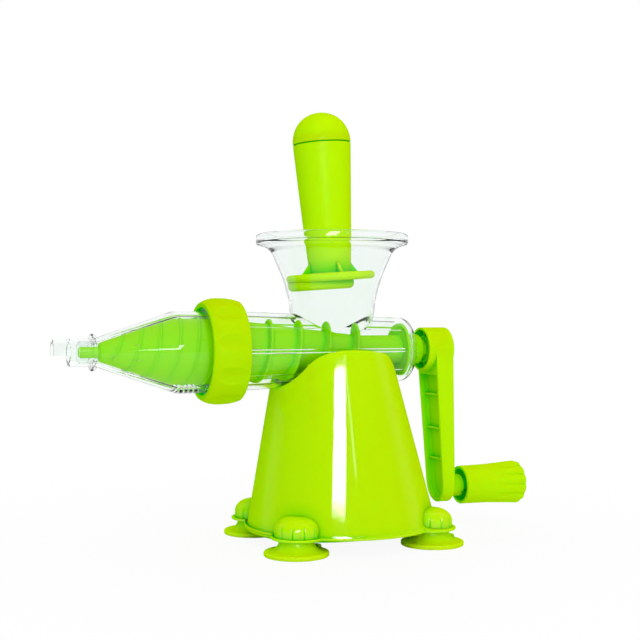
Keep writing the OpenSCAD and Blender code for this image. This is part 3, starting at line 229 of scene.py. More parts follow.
card_middle = base_middle + Vector((math.cos(card_turn), math.sin(card_turn), 0)) * card_far
card_side = Vector((-math.sin(card_turn), math.cos(card_turn), 0))
card_mesh = bpy.data.meshes.new("streak_card")
card_points = [(*(card_middle + card_side * side).xy, height) for side, height in card_corners]
card_mesh.from_pydata(card_points, [], [(0, 1, 2, 3)])
card_mesh.materials.append(glowing_card())
card = bpy.data.objects.new("streak_card", card_mesh)
bpy.context.scene.collection.objects.link(card)
card.visible_camera = card.visible_diffuse = card.visible_shadow = card.visible_transmission = False


# BASE: a hollow leaning cone that stands on a flange with four round lobes, each under a fluted dome.
# Glossy lime ABS, injection moulded in one piece. Its saddle edge and two cross walls carry the barrel,
# and a bridge between the walls takes the two screws that hold it.
row_shift = 25.6
foot_r, top_r, shell_h, lean, wall = 62.2, 37.25, 114.85, 6.05, 2.6
flange_z, flange_t, flange_lip, facet_loss = 10.05, 1.6, 1.3, 0.03
lobe_r, dome_r, dome_h, dome_round_r, dome_round_h = 16.7, 14.4, 11.8, 10.6, 8.0
cup_x, cup_y, dome_set_in = 46.6, 40.5, 1.7
saddle_low_front_z, saddle_low_rear_z = 98.55, 102.25
edge_round, foot_fillet, flange_round = 0.7, 0.9, 0.45
flange_top_z = flange_z + flange_t
saddle_top_z = flange_z + shell_h
round_columns, outer_rows, inner_rows = 288, 70, 30
merge_m = 2e-6


def spline(points, steps):
    """Catmull-Rom curve through points: each gap is a cubic whose slopes follow the points either side."""
    p = np.asarray(points, float)
    ends = np.vstack([p[:1], p, p[-1:]])
    t = np.linspace(0, 1, steps, endpoint=False)[:, None]
    a, b, c, d = (ends[i : len(p) - 1 + i][:, None] for i in range(4))
    curve = (2 * b + (c - a) * t + (2 * a - 5 * b + 4 * c - d) * t**2 + (3 * b - a - 3 * c + d) * t**3) / 2
    return np.vstack([curve.reshape(-1, p.shape[1]), p[-1:]])


def arc(centre, radii, start, end, steps=6):
    """Points of an oval arc: the centre plus the two radii times the angle's cosine and sine."""
    a = np.radians(np.linspace(start, end, steps + 1))
    return np.array(centre) + np.stack([np.cos(a), np.sin(a)], 1) * np.array(radii)


def quads(rows, columns, ending):
    """Faces of a grid whose columns go round. A ring joins last row and first row, caps close both ends."""
    at = np.arange(rows * columns).reshape(rows, columns)
    low = at if ending == "ring" else at[:-1]
    high = np.roll(at, -1, 0) if ending == "ring" else at[1:]
    four = np.stack([low, np.roll(low, -1, 1), np.roll(high, -1, 1), high], -1).reshape(-1, 4).tolist()
    return four + ([at[0, ::-1].tolist(), at[-1].tolist()] if ending == "caps" else [])


def solid(name, *grids, sharp=32.0):
    """One mesh from (points, ending) grids in millimetres: doubles merged, each grid turned inside out if
    its volume is below zero, edges over the sharp angle left crisp, and the whole moved by row_shift from
    the base's centre to the part's own frame, in metres."""
    mesh = bpy.data.meshes.new(name)
    shaped = bmesh.new()
    for grid, ending in grids:
        placed = (grid.reshape(-1, 3) + np.array([row_shift, 0, 0])) / 1000
        mesh.clear_geometry()
        mesh.from_pydata(placed.tolist(), [], quads(grid.shape[0], grid.shape[1], ending))
        one = bmesh.new()
        one.from_mesh(mesh)
        bmesh.ops.remove_doubles(one, verts=one.verts, dist=merge_m)
        if one.calc_volume(signed=True) < 0:
            bmesh.ops.reverse_faces(one, faces=one.faces)
        one.to_mesh(mesh)
        one.free()
        shaped.from_mesh(mesh)
    shaped.to_mesh(mesh)
    shaped.free()
    mesh.shade_smooth()
    mesh.set_sharp_from_angle(angle=math.radians(sharp))
    made = bpy.data.objects.new(name, mesh)
    bpy.context.scene.collection.objects.link(made)
    return made


def fit(piece, body, slot_name, material, *nodes):
    """Gives a finished piece its material and lets it ride on its body in place of its nodes. slot_name is
    not used.
    """
    piece.data.materials.clear()
    piece.data.materials.append(material)
    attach(piece, body)
    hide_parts(*nodes)


def lathe(profile, columns=96):
    """Turns [radius, height] points about the Z axis: x and y are the radius times cosine and sine."""
    p = np.asarray(profile, float)
    a = np.linspace(0, 2 * np.pi, columns, endpoint=False)
    x, y = p[:, :1] * np.cos(a), p[:, :1] * np.sin(a)
    return np.stack([x, y, np.repeat(p[:, 1:2], columns, 1)], -1)


# Painted shade in hollows: a deep green that the colour turns to as a point's ambient occlusion falls.
painted_hollow_green, lime_ior, hollow_shade_edges = "#00D800", 1.46, (0.3, 0.95)
# Painted side shade: a face's share of the greener colour falls from the first share to the second as its
# normal turns from level to up.
side_shade_edges, side_shade_shares, glance_edges = (0.1, 0.8), (0.16, 0.05), (0.25, 0.55)
swell_size, cloud_size, wide_hollow = 6.25, 41.7, 0.012


def moulded_lime(name, smooth, dull, shine, near="#CDED00", upright="#5CDC00", hollow_far=wide_hollow,
        soak=0.006):
    """Lime ABS from a polished mould. Its yellow green, near, takes a share of a greener colour, upright, as
    painted shade on faces that stand up, and turns to a painted deep green shade in hollows no wider than
    hollow_far, where narrow ones count the piece itself only. Light soaks in by soak. Over it lies a gloss
    whose roughness drifts from smooth to dull over 42 mm and that mirrors the share shine where it is seen
    square on and a tenth of it at a glance. A 6 mm swell, as mouldings have, bends what it mirrors."""
    made, tree = empty_material(name)
    place = add_node(tree, "ShaderNodeTexCoord", {})
    swell = add_node(tree, "ShaderNodeTexNoise", {
        "Vector": place.outputs["Object"], "Scale": 1000 / swell_size, "Detail": 1.0})
    cloud = add_node(tree, "ShaderNodeTexNoise", {
        "Vector": place.outputs["Object"], "Scale": 1000 / cloud_size, "Detail": 3.0})
    normal = add_node(tree, "ShaderNodeSeparateXYZ", {
        "Vector": add_node(tree, "ShaderNodeNewGeometry", {}).outputs["Normal"]})
    # Painted shade: faces that stand up take more of the greener colour than faces that look up.
    side_shade_amount = add_node(tree, "ShaderNodeMapRange", {"Value": normal.outputs["Z"],
        "From Min": side_shade_edges[0], "From Max": side_shade_edges[1],
        "To Min": side_shade_shares[0], "To Max": side_shade_shares[1]})
    shaded_tone = add_node(tree, "ShaderNodeMix", {
        0: side_shade_amount.outputs[0], 6: linear(near), 7: linear(upright)}, data_type="RGBA")
    # Painted shade: the less open a point is, the more its colour turns to the deep green.
    hollow = add_node(tree, "ShaderNodeAmbientOcclusion", {"Distance": hollow_far}, samples=6,
        only_local=hollow_far < wide_hollow)
    open_share = add_node(tree, "ShaderNodeMapRange", {
        "Value": hollow.outputs["AO"], "From Min": hollow_shade_edges[0], "From Max": hollow_shade_edges[1]})
    painted_shade_hue = add_node(tree, "ShaderNodeMix", {
        0: open_share.outputs[0], 6: linear(painted_hollow_green), 7: shaded_tone.outputs[2]}, data_type="RGBA")
    rough = add_node(tree, "ShaderNodeMapRange", {
        "Value": cloud.outputs["Fac"], "To Min": smooth, "To Max": dull})
    bump = add_node(tree, "ShaderNodeBump", {
        "Height": swell.outputs["Fac"], "Strength": 0.04, "Distance": 0.0004})
    body = add_node(tree, "ShaderNodeBsdfPrincipled", {"Base Color": painted_shade_hue.outputs[2], "Roughness": 0.6,
        "IOR": lime_ior, "Specular IOR Level": 0.0, "Subsurface Weight": 0.5, "Subsurface Scale": soak,
        "Subsurface Radius": (0.3, 1.0, 0.05), "Normal": bump.outputs[0]})
    gloss = add_node(tree, "ShaderNodeBsdfAnisotropic", {
        "Color": (1, 1, 1, 1), "Roughness": rough.outputs[0], "Normal": bump.outputs[0]})
    glance = add_node(tree, "ShaderNodeLayerWeight", {"Blend": 0.5})
    mirror_share = add_node(tree, "ShaderNodeMapRange", {"Value": glance.outputs["Facing"],
        "From Min": glance_edges[0], "From Max": glance_edges[1], "To Min": shine, "To Max": shine / 10})
    skin = add_node(tree, "ShaderNodeMixShader", {
        0: mirror_share.outputs[0], 1: body.outputs[0], 2: gloss.outputs[0]})
    add_node(tree, "ShaderNodeOutputMaterial", {"Surface": skin.outputs[0]})
    return made


lime_abs = moulded_lime("polished_lime_abs", 0.03, 0.06, 0.04)
around = np.linspace(0, 2 * np.pi, round_columns, endpoint=False)
lean_angle = math.atan2(lean, shell_h)
front_rise_shares = [[0, 0], [0.06, 0.09], [0.145, 0.22], [0.26, 0.43], [0.395, 0.7], [0.535, 0.87],
    [0.73, 0.96], [1, 1]]
rear_rise_shares = [[0, 0], [0.09, 0.3], [0.2, 0.6], [0.33, 0.82], [0.45, 0.9], [0.72, 0.97], [1, 1]]
search_from_to = (0.7 * shell_h, 1.02 * shell_h)


def shell_r(height):
    """The cone's radius at a height above the flange: a straight line from foot to top."""
    return foot_r + (top_r - foot_r) * height / shell_h


def shell_points(inset, height):
    """Points of the leaning cone: radius less inset round the axis, then the whole turned by the lean."""
    r = shell_r(height) - inset
    c, s = math.cos(lean_angle), math.sin(lean_angle)
    x = r * np.cos(around) * c - height * s
    z = flange_z + r * np.cos(around) * s + height * c
    return np.stack([x, r * np.sin(around), z + 0 * x], -1)


def saddle_edge():
    """Height along each line of the cone at which the saddle edge, a curve seen from the side, ends it: the
    first of the searched heights above the curve, moved back by its share of the last step."""
    front_x = -lean - shell_r(saddle_low_front_z - flange_z)
    rear_x = shell_r(saddle_low_rear_z - flange_z) - lean
    front = spline(front_rise_shares, 6) * [-lean - front_x, saddle_top_z - saddle_low_front_z]
    rear = spline(rear_rise_shares, 6) * [-lean - rear_x, saddle_top_z - saddle_low_rear_z]
    edge = np.vstack([front + [front_x, saddle_low_front_z], (rear + [rear_x, saddle_low_rear_z])[::-1]])
    heights = np.linspace(*search_from_to, 800)
    lines = np.stack([shell_points(0, h) for h in heights])
    above = lines[:, :, 2] - np.interp(lines[:, :, 0], edge[:, 0], edge[:, 1])
    first = np.argmax(above > 0, 0)
    k = np.arange(round_columns)
    share = above[first, k] / (above[first, k] - above[first - 1, k])
    return heights[first] - share * (heights[1] - heights[0])


def flange_reach():
    """The flange's outline from the centre: the lip's circle or a lobe's, whichever reaches further."""
    far = math.hypot(cup_x, cup_y) - dome_set_in
    reach = np.full(round_columns, foot_r + flange_lip - facet_loss)
    for lobe_turn in np.arctan2([1, 1, -1, -1], [1, -1, 1, -1] * np.array(cup_x / cup_y)):
        turn = np.angle(np.exp(1j * (around - lobe_turn)))
        inside = lobe_r**2 - (far * np.sin(turn)) ** 2
        lobe = far * np.cos(turn) + np.sqrt(np.maximum(inside, 0))
        reach = np.where((inside > 0) & (np.abs(turn) < 1), np.maximum(reach, lobe), reach)
    return reach


edge_h = saddle_edge()
reach = flange_reach()


def flange_row(inset, z):
    """One row of the flange: its outline drawn in by inset, at one height."""
    return np.stack([(reach - inset) * np.cos(around), (reach - inset) * np.sin(around), z + 0 * around], -1)


# The wall runs from its inner foot round the flange, up the outside and down the inside. Each rounded edge
# is a quarter circle of six rows, each row as its two shares of the radius.
turn_in = np.radians(np.linspace(0, 90, 6))
quarter_rows = list(zip(1 - np.sin(turn_in), 1 - np.cos(turn_in)))
rise_start = flange_t + foot_fillet
outer_shares, inner_shares = np.linspace(0, 1, outer_rows)[1:], np.linspace(0, 1, inner_rows)[1:-1]
base_rows = [shell_points(wall, 0)]
base_rows += [flange_row(flange_round * a, flange_z + flange_round * b) for a, b in quarter_rows]
base_rows += [flange_row(flange_round * b, flange_top_z - flange_round * a) for a, b in quarter_rows]
base_rows += [shell_points(-foot_fillet * a, flange_t + foot_fillet * b) for a, b in quarter_rows]
base_rows += [shell_points(0, rise_start + (edge_h - edge_round - rise_start) * s) for s in outer_shares]
base_rows += [shell_points(edge_round * b, edge_h - edge_round * a) for a, b in quarter_rows[1:]]
base_rows += [shell_points(wall - edge_round * a, edge_h - edge_round * b) for a, b in quarter_rows]
base_rows += [shell_points(wall, (edge_h - edge_round) * (1 - s)) for s in inner_shares]
base_grid = np.stack(base_rows)

dome_grooves, groove_w, groove_depth, groove_top_share, groove_fade_h = 12, 1.7, 0.7, 0.66, 2.2
dome_columns, dome_sunk, dome_side_h = 288, 0.4, 3.6


def dome_grid(sx, sy):
    """A dome: its side and oval shoulder turned round, less twelve upright grooves that fade out upwards.
    A groove's depth falls off by a raised cosine across its width and by its height."""
    far = math.hypot(cup_x, cup_y)
    cx, cy = sx * cup_x * (1 - dome_set_in / far), sy * cup_y * (1 - dome_set_in / far)
    line = np.vstack([[[0, -dome_sunk], [dome_r, -dome_sunk]],
        np.linspace([dome_r, 0], [dome_r, dome_side_h], 8),
        arc([dome_r - dome_round_r, dome_h - dome_round_h], [dome_round_r, dome_round_h], 0, 90, 26),
        [[0, dome_h]]])
    a = np.linspace(0, 2 * np.pi, dome_columns, endpoint=False) + math.atan2(cy, cx)
    turn = np.angle(np.exp(1j * (a - math.atan2(cy, cx)) * dome_grooves) * -1) / dome_grooves
    across = np.clip(np.abs(turn) * dome_r / (groove_w / 2), 0, 1)
    fade = np.clip((dome_h * groove_top_share - line[:, 1:2]) / groove_fade_h, 0, 1)
    fade = fade * (line[:, :1] > dome_r / 2)
    r = line[:, :1] - groove_depth * (0.5 + 0.5 * np.cos(np.pi * across))[None] * fade
    z = np.repeat(line[:, 1:2], dome_columns, 1) + flange_top_z
    return np.stack([cx + r * np.cos(a), cy + r * np.sin(a), z], -1)


cradle_x, cradle_t, cradle_low_z, cradle_top_z, cradle_columns = (-31.0, 21.0), 2.6, 82.2, 116.2, 97
axis_h, barrel_front_r, barrel_rear_r, barrel_taper_x, seat_gap = 124.2, 25.35, 21.3, (-71.25, 42.0), 0.3
bridge_half_w, bridge_z = 14.0, 91.85


def cradle_wall(x):
    """A cross wall of the cradle. Half its length is the root of the cone's radius squared less its own
    distance from the cone's axis squared. Its top is cut round the barrel: the axis less the root of the
    seat's radius squared less y squared."""
    height = np.array([cradle_low_z, cradle_top_z]) - flange_z
    aside = np.abs(x + lean * height / shell_h) + cradle_t / 2
    half = np.sqrt((shell_r(height) - wall / 2) ** 2 - aside**2)
    y_low, y_top = np.linspace(-half, half, cradle_columns).T
    seat_r = np.interp(x, barrel_taper_x, [barrel_front_r, barrel_rear_r]) + seat_gap
    seat = axis_h - np.sqrt(np.maximum(seat_r**2 - y_top**2, 0))
    top = np.where(np.abs(y_top) < seat_r, np.minimum(cradle_top_z, seat), cradle_top_z)
    low = np.full_like(y_low, cradle_low_z)
    corners = [(-cradle_t / 2, y_low, low), (cradle_t / 2, y_low, low), (cradle_t / 2, y_top, top),
        (-cradle_t / 2, y_top, top)]
    return np.stack([np.stack([x + dx + 0 * y, y, z], -1) for dx, y, z in corners], 1)


def bar(loop, ends):
    """A straight bar along X: the same [y, z] loop at both of its ends."""
    points = np.asarray(loop, float)
    return np.stack([np.insert(points, 0, x, 1) for x in ends])


def block(half_w, low_z, high_z, ends):
    """A square block along X: half its width to each side, between two heights."""
    return bar([[-half_w, low_z], [half_w, low_z], [half_w, high_z], [-half_w, high_z]], ends)


base = solid("base", (base_grid, "ring"), *[(dome_grid(sx, sy), "") for sx in (-1, 1) for sy in (-1, 1)],
    *[(cradle_wall(x), "caps") for x in cradle_x],
    (block(bridge_half_w, bridge_z - cradle_t, bridge_z, cradle_x), "caps"))
fit(base, "stand", "lime_gloss", lime_abs, "base_shell")


# SUCTION CUPS: four soft cups with a rim band, a hollow under side, a lifting tab and a stud pushed up
# through the lobe. Soft lime PVC, moulded, so its gloss is a little dull and light passes a short way in.
cup_r, cup_h, cup_band_h, cup_neck_r, cup_hollow_h, cup_stud_r = 20.12, 10.05, 2.7, 10.6, 3.4, 4.6
foot_round, band_round = 0.6, 0.7
tab_turn, tab_w, tab_h, tab_l, tab_set_in, tab_sunk = math.radians(20.0), 5.5, 2.2, 2.6, 1.9, 0.4
# The cups' painted shade: a greener colour on faces that stand up, and deep green in hollows within 8 mm.
lime_pvc = moulded_lime("soft_lime_pvc", 0.16, 0.26, 0.02, near="#D4F200", upright="#94E600",
    hollow_far=0.008)
cup_slope = cup_h - cup_band_h
hollow_points = [[4, cup_hollow_h], [cup_neck_r, 2.75], [15, 1.2], [cup_r - foot_round - 1, 0]]
cup_profile = np.vstack([
    [[0, cup_hollow_h]], spline(hollow_points, 5),
    arc([cup_r - foot_round, foot_round], [foot_round] * 2, -90, 0),
    arc([cup_r - band_round, cup_band_h - band_round], [band_round] * 2, 0, 90),
    arc([cup_neck_r + cup_slope, cup_h], [cup_slope] * 2, 262, 180, 14),
    [[cup_stud_r, cup_h], [cup_stud_r, flange_top_z], [0, flange_top_z]]])
tab_loop = np.array([[-0.5, 0], [0.5, 0], [0.5, 0.75], [0.34, 1], [-0.34, 1], [-0.5, 0.75]])
tab_y, tab_z = tab_loop[:, 0] * tab_w, tab_loop[:, 1] * (tab_h + tab_sunk) + cup_band_h - tab_sunk
tab_cos, tab_sin = math.cos(tab_turn), math.sin(tab_turn)
tab = np.stack([np.stack([r * tab_cos - tab_y * tab_sin, r * tab_sin + tab_y * tab_cos, tab_z], -1)
    for r in (cup_r - tab_set_in - tab_l, cup_r - tab_set_in)])
for sx, sy, cup_node in ((-1, 1, "suction_cup_front_left"), (-1, -1, "suction_cup_front_right"),
        (1, 1, "suction_cup_rear_left"), (1, -1, "suction_cup_rear_right")):
    centre = np.array([sx * cup_x, sy * cup_y, 0])
    cup = solid(cup_node.replace("suction_cup", "cup"), (lathe(cup_profile) + centre, ""),
        (tab + centre, "caps"))
    fit(cup, "stand", "lime_soft", lime_pvc, cup_node)


# CLEAR BODY: barrel, oval throat and trumpet hopper in one moulding of clear polycarbonate, about 2 mm
# thick, polished inside and out. Eight low ribs run along the bore, and two bosses under it take screws.
flow_size = 16.7


def clear_polycarbonate():
    """Polished clear polycarbonate with a faint cool tint, under a slow 17 mm flow that bends what is seen
    through it a little. Its index stays low, so that its outlines are pale, as thin walls on white are."""
    made, tree = empty_material("clear_polycarbonate")
    place = add_node(tree, "ShaderNodeTexCoord", {})
    flow = add_node(tree, "ShaderNodeTexNoise", {
        "Vector": place.outputs["Object"], "Scale": 1000 / flow_size, "Detail": 2.0})
    bump = add_node(tree, "ShaderNodeBump", {
        "Height": flow.outputs["Fac"], "Strength": 0.03, "Distance": 0.0006})
    skin = add_node(tree, "ShaderNodeBsdfPrincipled", {"Base Color": linear("#F8FCFA"), "Roughness": 0.015,
        "IOR": 1.3, "Transmission Weight": 1.0, "Normal": bump.outputs[0]})
    add_node(tree, "ShaderNodeOutputMaterial", {"Surface": skin.outputs[0]})
    return made


def joined(name, first, *steps, sharp=30.0):
    """Adds, cuts or intersects closed solids one after another, closes the hairline gaps that this leaves
    and keeps the result as one mesh."""
    for k, (operation, other) in enumerate(steps):
        change = first.modifiers.new(f"step_{k}", "BOOLEAN")
        change.operation, change.solver, change.object = operation, "EXACT", other
    bpy.context.view_layer.update()
    mesh = bpy.data.meshes.new_from_object(first.evaluated_get(bpy.context.evaluated_depsgraph_get()))
    mesh.name = name
    cleaned = bmesh.new()
    cleaned.from_mesh(mesh)
    bmesh.ops.remove_doubles(cleaned, verts=cleaned.verts, dist=merge_m)
    bmesh.ops.dissolve_degenerate(cleaned, edges=cleaned.edges, dist=merge_m)
    bmesh.ops.holes_fill(cleaned, edges=[e for e in cleaned.edges if e.is_boundary])
    cleaned.to_mesh(mesh)
    cleaned.free()
    mesh.shade_smooth()
    mesh.set_sharp_from_angle(angle=math.radians(sharp))
    for used in [first] + [other for operation, other in steps]:
        bpy.data.objects.remove(used)
    made = bpy.data.objects.new(name, mesh)
    bpy.context.scene.collection.objects.link(made)
    return made


def axle(profile, columns=120, radius_by_turn=None):
    """Turns [x, radius] points about the barrel's axis: y and z are the radius times the turn's sine and
    cosine. radius_by_turn may change the radii round it."""
    p = np.asarray(profile, float)
    a = np.linspace(0, 2 * np.pi, columns, endpoint=False)
    r = np.repeat(p[:, 1:2], columns, 1)
    if radius_by_turn is not None:
        r = radius_by_turn(p[:, :1], r, a[None])
    return np.stack([np.repeat(p[:, :1], columns, 1), r * np.sin(a), axis_h + r * np.cos(a)], -1)


def fit_clear(piece, body, node):
    """Fits a clear piece and lets soft light and shadows pass it, as they do through thin clear walls."""
    fit(piece, body, "clear_body", polycarbonate, node)
    piece.visible_shadow = piece.visible_diffuse = False


polycarbonate = clear_polycarbonate()
overrun = 1.0
barrel_front_x, head_end_x, barrel_rear_x, head_r, body_wall = -88.2, -75.5, 47.5, 29.6, 2.5
barrel_round, mouth_round, groove_r, groove_l = 5.5, 0.5, 27.4, 9.0
journal_hole_r, rear_wall_t = 9.91, 2.6
rib_count, rib_h, rib_w, rib_end_x, rib_soft, rib_fade_l, rib_mid_r = 8, 1.2, 2.4, 39.0, 0.5, 1.5, 22.0
barrel_start_x, taper_end_x = barrel_taper_x
barrel_outside = np.vstack([
    [[barrel_front_x, 0], [barrel_front_x, barrel_front_r], [barrel_front_x + groove_l, barrel_front_r],
        [barrel_front_x + groove_l, groove_r], [barrel_front_x, groove_r]],
    arc([barrel_front_x + mouth_round, head_r - mouth_round], [mouth_round] * 2, 180, 90),
    [[head_end_x, head_r], [barrel_start_x, barrel_front_r]],
    np.linspace([barrel_start_x, barrel_front_r], [taper_end_x, barrel_rear_r], 30)[1:-1],
    arc([taper_end_x, barrel_rear_r - barrel_round], [barrel_round] * 2, 90, 0, 12),
    [[barrel_rear_x, 0]]])
bore_round = barrel_round - body_wall
bore_end_x = barrel_rear_x - rear_wall_t
bore_front_r, bore_rear_r = barrel_front_r - body_wall, barrel_rear_r - body_wall
barrel_bore = np.vstack([
    [[barrel_front_x - overrun, 0]],
    np.linspace([barrel_front_x - overrun, bore_front_r], [barrel_start_x, bore_front_r], 6),
    np.linspace([barrel_start_x, bore_front_r], [bore_end_x - bore_round, bore_rear_r], 80)[1:-1],
    arc([bore_end_x - bore_round, bore_rear_r - bore_round], [bore_round] * 2, 90, 0, 8),
    [[bore_end_x, journal_hole_r], [barrel_rear_x + overrun, journal_hole_r],
        [barrel_rear_x + overrun, 0]]])


def rib_bore(x, r, a):
    """The bore's radius less a rib wherever the turn is near one of eight; ribs fade at their far end."""
    turn = np.angle(np.exp(1j * a * rib_count)) / rib_count
    rise = np.clip(((rib_w + rib_soft) / 2 - np.abs(turn) * rib_mid_r) / rib_soft, 0, 1)
    along = np.clip((rib_end_x - x) / rib_fade_l, 0, 1) * (x > barrel_front_x - overrun / 2)
    return r - rib_h * rise * along


hopper_x, hopper_top_z, rim_r, hopper_wall, neck_r, funnel_top_r = -6.25, 199.8, 49.9, 1.8, 28.7, 43.9
rim_h, rim_band, neck_z, funnel_top_z = 6.8, 3.0, 157.0, 191.55
throat_half, throat_foot_z, inside_barrel_z = np.array([26.2, 20.4]), 133.0, 128.0
funnel_shares = [[0, 0], [0.12, 0.2], [0.28, 0.44], [0.43, 0.6], [0.59, 0.76], [0.77, 0.92], [1, 1]]
rim_edge = rim_band / 2


def hopper_grid(inset, top_rows, columns=144):
    """The hopper's skin drawn in by inset. Its throat is an oval whose half widths ease into the neck's
    circle by three squares less two cubes of the way between them. Above it stands the turned funnel."""
    a = np.linspace(0, 2 * np.pi, columns, endpoint=False)
    line = spline(funnel_shares, 8) * [funnel_top_r - neck_r, funnel_top_z - neck_z]
    line = line + [neck_r - inset, neck_z]
    turned = lathe(np.vstack([line, top_rows]), columns)
    t = np.linspace(0, 1, 20, endpoint=False)[:, None]
    half = np.array([neck_r, neck_r]) + (throat_half - neck_r) * (t * t * (3 - 2 * t)) - inset
    z = neck_z + (throat_foot_z - neck_z) * t
    half = np.vstack([half, throat_half - inset, throat_half - inset])[::-1]
    z = np.vstack([z, [[throat_foot_z]], [[inside_barrel_z - inset]]])[::-1]
    throat = np.stack([half[:, :1] * np.cos(a), half[:, 1:] * np.sin(a), np.repeat(z, columns, 1)], -1)
    pole = np.zeros((1, columns, 3)) + [0, 0, inside_barrel_z - inset]
    return np.concatenate([pole, throat, turned]) + [hopper_x, 0, 0]


rim_low_z, lip_r = hopper_top_z - rim_h, rim_r - rim_edge
rim_outer = np.vstack([
    arc([lip_r, rim_low_z + rim_edge], [rim_edge] * 2, -90, 0, 8),
    arc([lip_r, hopper_top_z - rim_edge], [rim_edge] * 2, 0, 90, 8), [[0, hopper_top_z]]])
rim_inner = np.vstack([
    arc([lip_r - rim_band, rim_low_z + hopper_wall + rim_edge], [rim_edge] * 2, -90, 0, 8),
    arc([lip_r, hopper_top_z - rim_edge], [rim_edge] * 2, 180, 100, 8),
    [[lip_r + 0.1, hopper_top_z + 0.05], [lip_r + 0.2, hopper_top_z + 2 * overrun],
        [0, hopper_top_z + 2 * overrun]]])
boss_x, boss_r, screw_hole_r, boss_l, boss_embed_z = (-21.0, 11.0), 4.6, 1.81, 7.0, axis_h - 18.0
boss_rows = [[0, bridge_z], [boss_r, bridge_z], [boss_r, boss_embed_z], [0, boss_embed_z]]
hole_rows = [[0, bridge_z - overrun], [screw_hole_r, bridge_z - overrun],
    [screw_hole_r, bridge_z + boss_l], [0, bridge_z + boss_l]]
body_steps = [("UNION", solid("hopper_out", (hopper_grid(0, rim_outer), "")))]
body_steps += [("UNION", solid(f"boss_{x}", (lathe(boss_rows, 48) + [x, 0, 0], ""))) for x in boss_x]
body_steps += [("DIFFERENCE", solid("hopper_in", (hopper_grid(hopper_wall, rim_inner), ""))),
    ("DIFFERENCE", solid("bore", (axle(barrel_bore, 192, rib_bore), "")))]
body_steps += [("DIFFERENCE", solid(f"hole_{x}", (lathe(hole_rows, 32) + [x, 0, 0], ""))) for x in boss_x]
fit_clear(joined("clear_body", solid("barrel_out", (axle(barrel_outside, 144), "")), *body_steps),
    "stand", "juicing_body")


# BODY SCREWS AND SHAFT SEAL: two stainless pan head screws up through the base's bridge, and a silicone
# ring at the barrel's rear wall. They keep their built shapes and get their finishes only.
mark_size, bloom_size = 0.303, 1.43


def stainless_steel():
    """Cold headed stainless steel: neutral grey metal. Its turning marks, 0.3 mm apart in its roughness, are
    coarser than real ones, so that they show."""
    made, tree = empty_material("stainless_steel")
    place = add_node(tree, "ShaderNodeTexCoord", {})
    marks = add_node(tree, "ShaderNodeTexNoise", {
        "Vector": place.outputs["Object"], "Scale": 1000 / mark_size, "Detail": 1.0})
    rough = add_node(tree, "ShaderNodeMapRange", {
        "Value": marks.outputs["Fac"], "To Min": 0.22, "To Max": 0.38})
    skin = add_node(tree, "ShaderNodeBsdfPrincipled", {"Base Color": linear("#C9CACB"), "Metallic": 1.0,
        "Roughness": rough.outputs[0]})
    add_node(tree, "ShaderNodeOutputMaterial", {"Surface": skin.outputs[0]})
    return made


def milky_silicone():
    """Natural silicone rubber: milky, slightly green white, soft sheen, light passes a few millimetres in.
    Its roughness drifts over 1.4 mm, as a powdery bloom does."""
    made, tree = empty_material("milky_silicone")
    place = add_node(tree, "ShaderNodeTexCoord", {})
    bloom = add_node(tree, "ShaderNodeTexNoise", {
        "Vector": place.outputs["Object"], "Scale": 1000 / bloom_size, "Detail": 2.0})
    rough = add_node(tree, "ShaderNodeMapRange", {
        "Value": bloom.outputs["Fac"], "To Min": 0.35, "To Max": 0.5})
    skin = add_node(tree, "ShaderNodeBsdfPrincipled", {"Base Color": linear("#E6ECE8"),
        "Roughness": rough.outputs[0], "IOR": 1.41, "Subsurface Weight": 0.5, "Subsurface Scale": 0.003})
    add_node(tree, "ShaderNodeOutputMaterial", {"Surface": skin.outputs[0]})
    return made


def dress(node_name, material):
    """A node that keeps its built shape gets its finish on its own material slots."""
    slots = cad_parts[node_name].data.materials
    slots.clear()
    slots.append(material)


steel, silicone = stainless_steel(), milky_silicone()
dress("body_screws", steel)
dress("shaft_seal", silicone)


# AUGER: a left-handed screw whose core swells towards the nozzle, then a pressing cone with two low flights
# side by side. Lime ABS, moulded in one piece. A thrust disc and a journal run in the barrel's rear wall,
# and a hexagon takes the crank. Steps of less than 1.5 mm in a profile are its rounded edges.
feed_start_x, feed_end_x, feed_pitch, first_tip_x, tip_gap = 13.6, -70.5, 20.1, 9.6, 0.45
feed_root_w, feed_tip_w, feed_fades = 3.4, 2.0, (0.06, 0.05)
press_start_x, press_end_x, press_lead, press_h = -86.0, -153.0, 23.2, 0.75
press_root_w, press_tip_w, press_fades = 1.7, 1.3, (0.05, 0.08)
flight_flare, flight_sunk = 0.7, 0.3
shaft_r, core_front_x, core_front_r = 9.5, -84.0, 20.5
cone_start_x, cone_start_r, cone_end_x, cone_end_r = -115.7, 20.7, -159.5, 5.8
pin_r, pin_end_x, pin_round = 3.5, -172.0, 1.2
disc_x, disc_t, disc_r, journal_r, journal_end_x = 40.8, 2.0, 17.5, 9.85, 56.4
hexagon_across, drive_end_x = 11.0, 73.1
drive_r = hexagon_across / math.sqrt(3)


def core_r(x):
    """The auger core's radius at x: straight lines between its shaft, its body and its pressing cone."""
    return np.interp(x, [cone_end_x, cone_start_x, core_front_x, feed_start_x],
        [cone_end_r, cone_start_r, core_front_r, shaft_r])


def bore_r(x):
    """The radius left inside the barrel's ribs at x: its straight taper less the wall and a rib."""
    rise = (x - barrel_start_x) / (taper_end_x - barrel_start_x)
    return barrel_front_r + (barrel_rear_r - barrel_front_r) * rise - body_wall - rib_h


